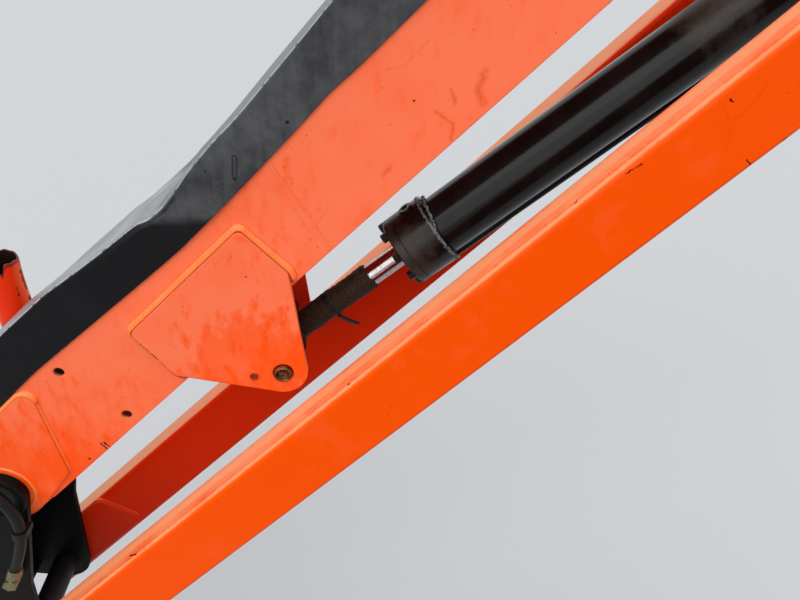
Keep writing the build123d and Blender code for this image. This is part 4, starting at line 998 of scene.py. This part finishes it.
# under the folded edge the near side goes in at once and comes out slowly
under = np.clip(near_bend - height, 0, None)
groove = np.clip(under / 3.0, 0, 1) * np.exp(-under / 11.0) * np.exp(-(((along - FOLD_AT) / 21.0) ** 2))
depth = depth + near_side * FOLD_DEEP * groove
# the edge itself leans out over it
lean = np.exp(-(((along - FOLD_AT - 4) / 24.0) ** 2)) * np.clip(1 - np.abs(height - near_bend) / 9.0, 0, 1)
depth = depth - (columns < SIDE_COLUMNS + 5) * 2.2 * lean
# a crease runs level across the near side: above it the sheet looks at the sky, below it at the ground
z_here = ARM_PIN[2] + (along * ALONG[2] + height * ABOVE[2]) * MM
out = np.exp(-np.abs(z_here - CREASE_Z) / 0.042) * np.clip(under / 4.0, 0, 1) * near_side
depth = depth - CREASE_OUT * out
# the top buckles, and all of the sheet waves a little
on_top = np.clip((flat_half - np.abs(depth)) / 12.0, 0, 1)
buckle = np.sin(along / 11.0 + depth / 19.0) * 1.6 + np.sin(along / 23.0 - depth / 31.0) * 2.2
height = height + on_top * buckle * np.exp(-(((along - FOLD_AT - 10) / 70.0) ** 2))
height = height + on_top * 1.5 * np.sin(along / 120.0) * np.cos(depth / 50.0)
wave = np.sin(along / 97.0 + 1.0) + 0.6 * np.sin(along / 41.0)
depth = depth + np.sign(depth) * 0.5 * wave * np.clip((height - 92.0) / 20.0, 0, 1) * (1 - on_top)

outer = beside(ARM_PIN, ALONG, ABOVE, along + 0 * depth, height, depth)
step_round, step_up = np.gradient(depth, axis=1), np.gradient(height, axis=1)
length = np.hypot(step_round, step_up)
inner_height = height - COVER_SHEET * step_round / length
inner_depth = depth + COVER_SHEET * step_up / length
inner = beside(ARM_PIN, ALONG, ABOVE, along + 0 * depth, inner_height, inner_depth)
# a painted highlight along the near bend, kept as the edge line
rubbed_and_highlight = np.exp(-(((columns - SIDE_COLUMNS - 5.0) / 1.3) ** 2))
cover = piece("dented_hose_cover", [sheet(outer, inner)], cover_enamel, "arm", line=rubbed_and_highlight)
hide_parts("hose_cover")

# %% [markdown]
# ## The crust on the rod
# The rod is only wiped clean where the gland's seal reaches it. Beyond that, grease and dust have dried to a
# thick sleeve with a broken edge and lumps near it. It is a tube whose radius carries lumps: a sum of waves
# round and along the rod whose phases are drawn once, from a fixed seed. The edge is at another place for every
# angle.

# %% Crust
CRUST_COLUMNS, CRUST_ROWS = 96, 260
ROD_R = 16.0
CRUST_THICK = 2.6
draw = np.random.default_rng(11)
angle = np.linspace(0, 2 * np.pi, CRUST_COLUMNS, endpoint=False)
share = np.linspace(0, 1, CRUST_ROWS)[:, None]
edge = CRUST_START + 2.0 + 1.2 * np.cos(angle - 0.6) + 0.7 * np.sin(3 * angle + 1) + 0.5 * np.sin(7 * angle)
edge = edge + draw.uniform(-0.7, 0.7, CRUST_COLUMNS)
run = CRUST_END - (CRUST_END - edge) * share
lumps = 0.0
for waves_round, wave_length, size in (
    (2, 61.0, 0.2), (3, 37.0, 0.2), (5, 23.0, 0.2), (7, 14.0, 0.22), (11, 8.0, 0.26), (16, 5.3, 0.26),
    (23, 3.6, 0.2),
):
    for waves in (waves_round, waves_round + 1):
        phase = draw.uniform(0, 2 * np.pi, 2)
        lumps = lumps + size * np.sin(waves * angle + phase[0]) * np.sin(run / wave_length * np.pi + phase[1])
from_edge = run - edge
grains = np.clip(lumps, 0, None) * (1 + 1.6 * np.clip(np.sin(angle), 0, 1))
collar_lumps = 1.2 * np.exp(-(((from_edge - 12.0) / 12.0) ** 2)) * np.clip(np.sin(angle), 0, 1) + 0.5 * grains
radius = ROD_R + CRUST_THICK + 0.5 * lumps + collar_lumps
radius = np.maximum(radius, ROD_R + 0.8)
radius = ROD_R - 0.3 + (radius - ROD_R + 0.3) * np.clip(from_edge / 2.2, 0, 1) ** 0.5
over, across = radius * np.sin(angle), radius * np.cos(angle)
crust_shell = tube(beside(LINK_PIN, ROD_WAY, ROD_OVER, run, over, across))
crust_piece = piece("dried_crust_on_rod", [crust_shell], crust, "rod", smooth_to=np.radians(60))
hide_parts("rod_sleeve")

# %% [markdown]
# ## A cable tie on the crust
# Someone once held a cable there. The tie's band has sunk into the dirt, and its tail still hangs off below. A
# tail is a strip: a rectangle of points carried along a curve.

# %% Cable tie
def strip(path, wide, thick, broad):
    """A shell along a path in metres, wide along the broad way and thick square to it, in millimetres."""
    ahead = np.gradient(path, axis=0)
    up = np.cross(ahead, broad)
    up = up / np.linalg.norm(up, axis=1, keepdims=True)
    corners = np.array([(1, 1), (-1, 1), (-1, -1), (1, -1)]) * (wide / 2 * MM, thick / 2 * MM)
    return tube(path[:, None] + corners[:, :1] * np.asarray(broad) + corners[:, 1:] * up[:, None])


TIE_AT, TIE_HALF, TIE_IN, TIE_OUT = 990.0, 2.4, 19.0, 20.2
tie_section = [(-TIE_HALF, TIE_IN), (-TIE_HALF, TIE_OUT), (TIE_HALF, TIE_OUT), (TIE_HALF, TIE_IN)]
band = turned(tie_section, LINK_PIN + ROD_WAY * TIE_AT * MM, ROD_WAY)
curve = np.linspace(0, 1, 14)
tail_path = beside(LINK_PIN, ROD_WAY, ROD_OVER, TIE_AT - 12 * curve**1.3, -17 - 30 * curve, -12.0)
tail = strip(tail_path, 7.0, 2.6, ACROSS * 0.45 + ROD_WAY * 0.89)
piece("cable_tie", [band, tail], oxide, "rod")

# %% [markdown]
# ## The guide tube
# A short tube stands on the platform end, and it has been hit from above more than once. Its rim is torn and
# leans outward, and its paint has gone from every edge. Rust darkens the outside near the rim, and the inner wall
# is painted near black, as painted shade. The wall is one closed surface: a long thin section, carried round the
# axis, whose top is at another height for every angle.

# %% Guide tube
tube_low, tube_high = box_corners("guide_tube")
TUBE_R, TUBE_WALL = (tube_high[0] - tube_low[0]) / 2 / MM, 3.0
TUBE_COLUMNS, WALL_ROWS = 120, 60
tube_centre = np.array([(tube_low[0] + tube_high[0]) / 2, tube_high[1] - TUBE_R * MM, tube_low[2]])
turn = np.linspace(0, 2 * np.pi, TUBE_COLUMNS, endpoint=False)[:, None]
missing = 17 + 3.5 * np.sin(turn + 2.4) + 1.5 * np.sin(3 * turn) + 0.8 * np.sin(11 * turn)
missing = missing + 13 * np.exp(-(((turn - 5.2) / 0.16) ** 2)) + 7 * np.exp(-(((turn - 4.0) / 0.1) ** 2))
rim = (tube_high[2] - tube_low[2]) / MM - missing
rise = np.concatenate([np.linspace(0, 1, WALL_ROWS), np.linspace(1, 0, WALL_ROWS)])
wall = np.repeat([0, TUBE_WALL], WALL_ROWS)
height = rim * rise
flare = (1.5 + 2.5 * np.sin(2 * turn + 1)) * np.exp(-(rim - height) / 9.0)
across = np.minimum(TUBE_R - wall - 1.2 + flare + 0.8 * np.sin(2 * turn + height / 40.0), TUBE_R - wall)
around = np.stack([np.cos(turn) * across, np.sin(turn) * across, height], -1)
SADDLE = 30.0
saddle_y = DOUBLER_FACE + np.array([0.0, TUBE_R]) - tube_centre[1] / MM
saddle = np.array([[(x, y, z) for x, z in ((-1, 0), (1, 0), (1, 2), (-1, 2))] for y in saddle_y])
saddle = tube_centre + saddle * MM * (SADDLE / 2, 1, SADDLE / 2)
TUBE_CHIPS = (
    ((-185, 120, 178), (-166, 120, 157), 5.0),
    ((-153, 120, 143), (-126, 120, 113), 6.0),
    ((-168, 101, 167), (-158, 101, 156), 2.0),
    ((-131, 93, 138), (-129, 93, 136), 4.0),
)
tube_enamel = orange_enamel(
    "battered_orange_enamel_tube", TIP_PIN, 0.5, GUSSET_SMEARS, TUBE_CHIPS, wear=0.45, pale="#FF6A38",
    dirt="#1E0C08",
)
# rust on the outside near the rim, and the inner wall fully dark as painted shade
tube_rust_and_shade = np.where(wall == 0, np.clip(1.3 - (1 - rise) * 30, 0, 0.7), 1.0)
guide_shells = [tube(tube_centre + around * MM, True), tube(saddle)]
guide = piece("torn_guide_tube", guide_shells, tube_enamel, "arm", line=tube_rust_and_shade)
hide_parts("guide_tube")

# %% [markdown]
# ## Bracket welds and fasteners
# Tubes are welded into the bracket plates all round, and the webs between the plates have a bead on each side.
# The rotator's feet are bolted to the platform bracket, and the straddles to the shaft. Pins that turn have a
# grease nipple.

# %% Bracket welds
bracket_shells = []
for node in ("boom_pivot_tube", "level_pivot_tube"):
    low_corner, high_corner = box_corners(node)
    centre, radius = (low_corner + high_corner) / 2, (high_corner[0] - low_corner[0]) / 2 / MM
    bracket_shells += ring_beads(centre * (1, 0, 1), PLATE_FACE, radius, 3.6)
web_low, web_high = (corner / MM for corner in box_corners("bracket_web"))
for side, face in ((-1, web_low[0]), (1, web_high[0])):
    for y in (web_low[1], web_high[1]):
        up = np.linspace(web_low[2] + 4, web_high[2] - 6, 90)
        path = np.stack([np.full_like(up, face), np.full_like(up, y), up], -1) * MM
        bracket_shells.append(bead(path, 5.0, (side, 0, 0)))
piece("boom_bracket_weld_beads", bracket_shells, bracket_enamel, "boom_bracket")

# %% Grease nipples
NIPPLE = [(-1, 4.6), (3.2, 4.6), (3.2, 2.6), (5.6, 2.4), (6.4, 3.2), (8.2, 3.2), (9.4, 1.6), (9.6, 0.5)]
for node, pin, body in (("arm_pin", ARM_PIN, "boom_bracket"), ("tip_pin", TIP_PIN, "platform_bracket")):
    head = -reach(node, ARM_PIN, ACROSS)[0] * MM * ACROSS
    nipples = [turned(NIPPLE, pin + side * head, side * ACROSS, hexagon_at=(0, 1)) for side in SIDES]
    piece(node + "_grease_nipples", nipples, passivated, body)

# %% The cap and bolt end of the rod's pin
PIN_CAP = [
    (-0.5, 13.9), (0.2, 13.8), (0.6, 13.1), (4.0, 12.8), (6.8, 12.3), (8.4, 11.3), (8.9, 10.0), (8.4, 8.8),
    (7.3, 8.0), (6.8, 7.0), (6.8, 0.5),
]
PIN_BOLT_END = [(6.0, 6.1), (8.2, 6.0), (8.9, 5.2), (9.1, 0.5)]
CAP_SUNK, BOLT_END_LOW = 9.5, 1.6
caps = []
for side in SIDES:
    centre = beside(ARM_PIN, ALONG, ABOVE, ROD_PIN_ALONG, ROD_PIN_ABOVE, side * (PLATE_FACE - CAP_SUNK))
    caps.append(turned(PIN_CAP, centre, side * ACROSS))
    caps.append(turned(PIN_BOLT_END, centre - np.array([0, 0, BOLT_END_LOW]) * MM, side * ACROSS))
piece("rod_pin_caps", caps, greasy, "arm")

# %% Foot bolts of the rotator
FOOT_BOLT_ACROSS, FOOT_OFF, FOOT_THICK = 55.0, 62.0, 16.0
foot_face = next(box_corners("level_web"))[0] - FOOT_THICK * MM
rotator_middle = sum(box_corners("rotator_body")) / 2
foot_bolts = []
for z in (-FOOT_OFF, FOOT_OFF):
    for y in (-FOOT_BOLT_ACROSS, FOOT_BOLT_ACROSS):
        at = np.array([foot_face, y * MM, rotator_middle[2] + z * MM])
        foot_bolts += bolt(at, (-1, 0, 0), 22.0, 9.0, washer=15.0)
piece("rotator_foot_bolts", foot_bolts, zinc, "platform_bracket")

# %% Straddle bolts and beads
STRADDLE, BOLT_RING = 16.0, 40.0
straddle_low, straddle_high = box_corners("mount_straddles")
plate_back = list(box_corners("platform_mount"))[1][0]
rotator_axis = sum(box_corners("rotator_caps")) / 2
straddle_bolts = []
for turn_by in np.arange(6) * np.pi / 3:
    at = rotator_axis + BOLT_RING * MM * np.array([np.cos(turn_by), np.sin(turn_by), 0])
    at[2] = straddle_high[2]
    straddle_bolts += bolt(at, (0, 0, 1), 19.0, 8.0, washer=13.0)
piece("straddle_bolts", straddle_bolts, zinc, "platform_mount")
y = np.linspace(straddle_low[1] + 4 * MM, straddle_high[1] - 4 * MM, 100)
mount_shells = []
for z in (straddle_high[2] - STRADDLE * MM, straddle_low[2] + STRADDLE * MM):
    path = np.stack([np.full_like(y, plate_back), y, np.full_like(y, z)], -1)
    mount_shells.append(bead(path, 5.0, (1, 0, 0)))
piece("mount_weld_beads", mount_shells, bracket_enamel, "platform_mount")
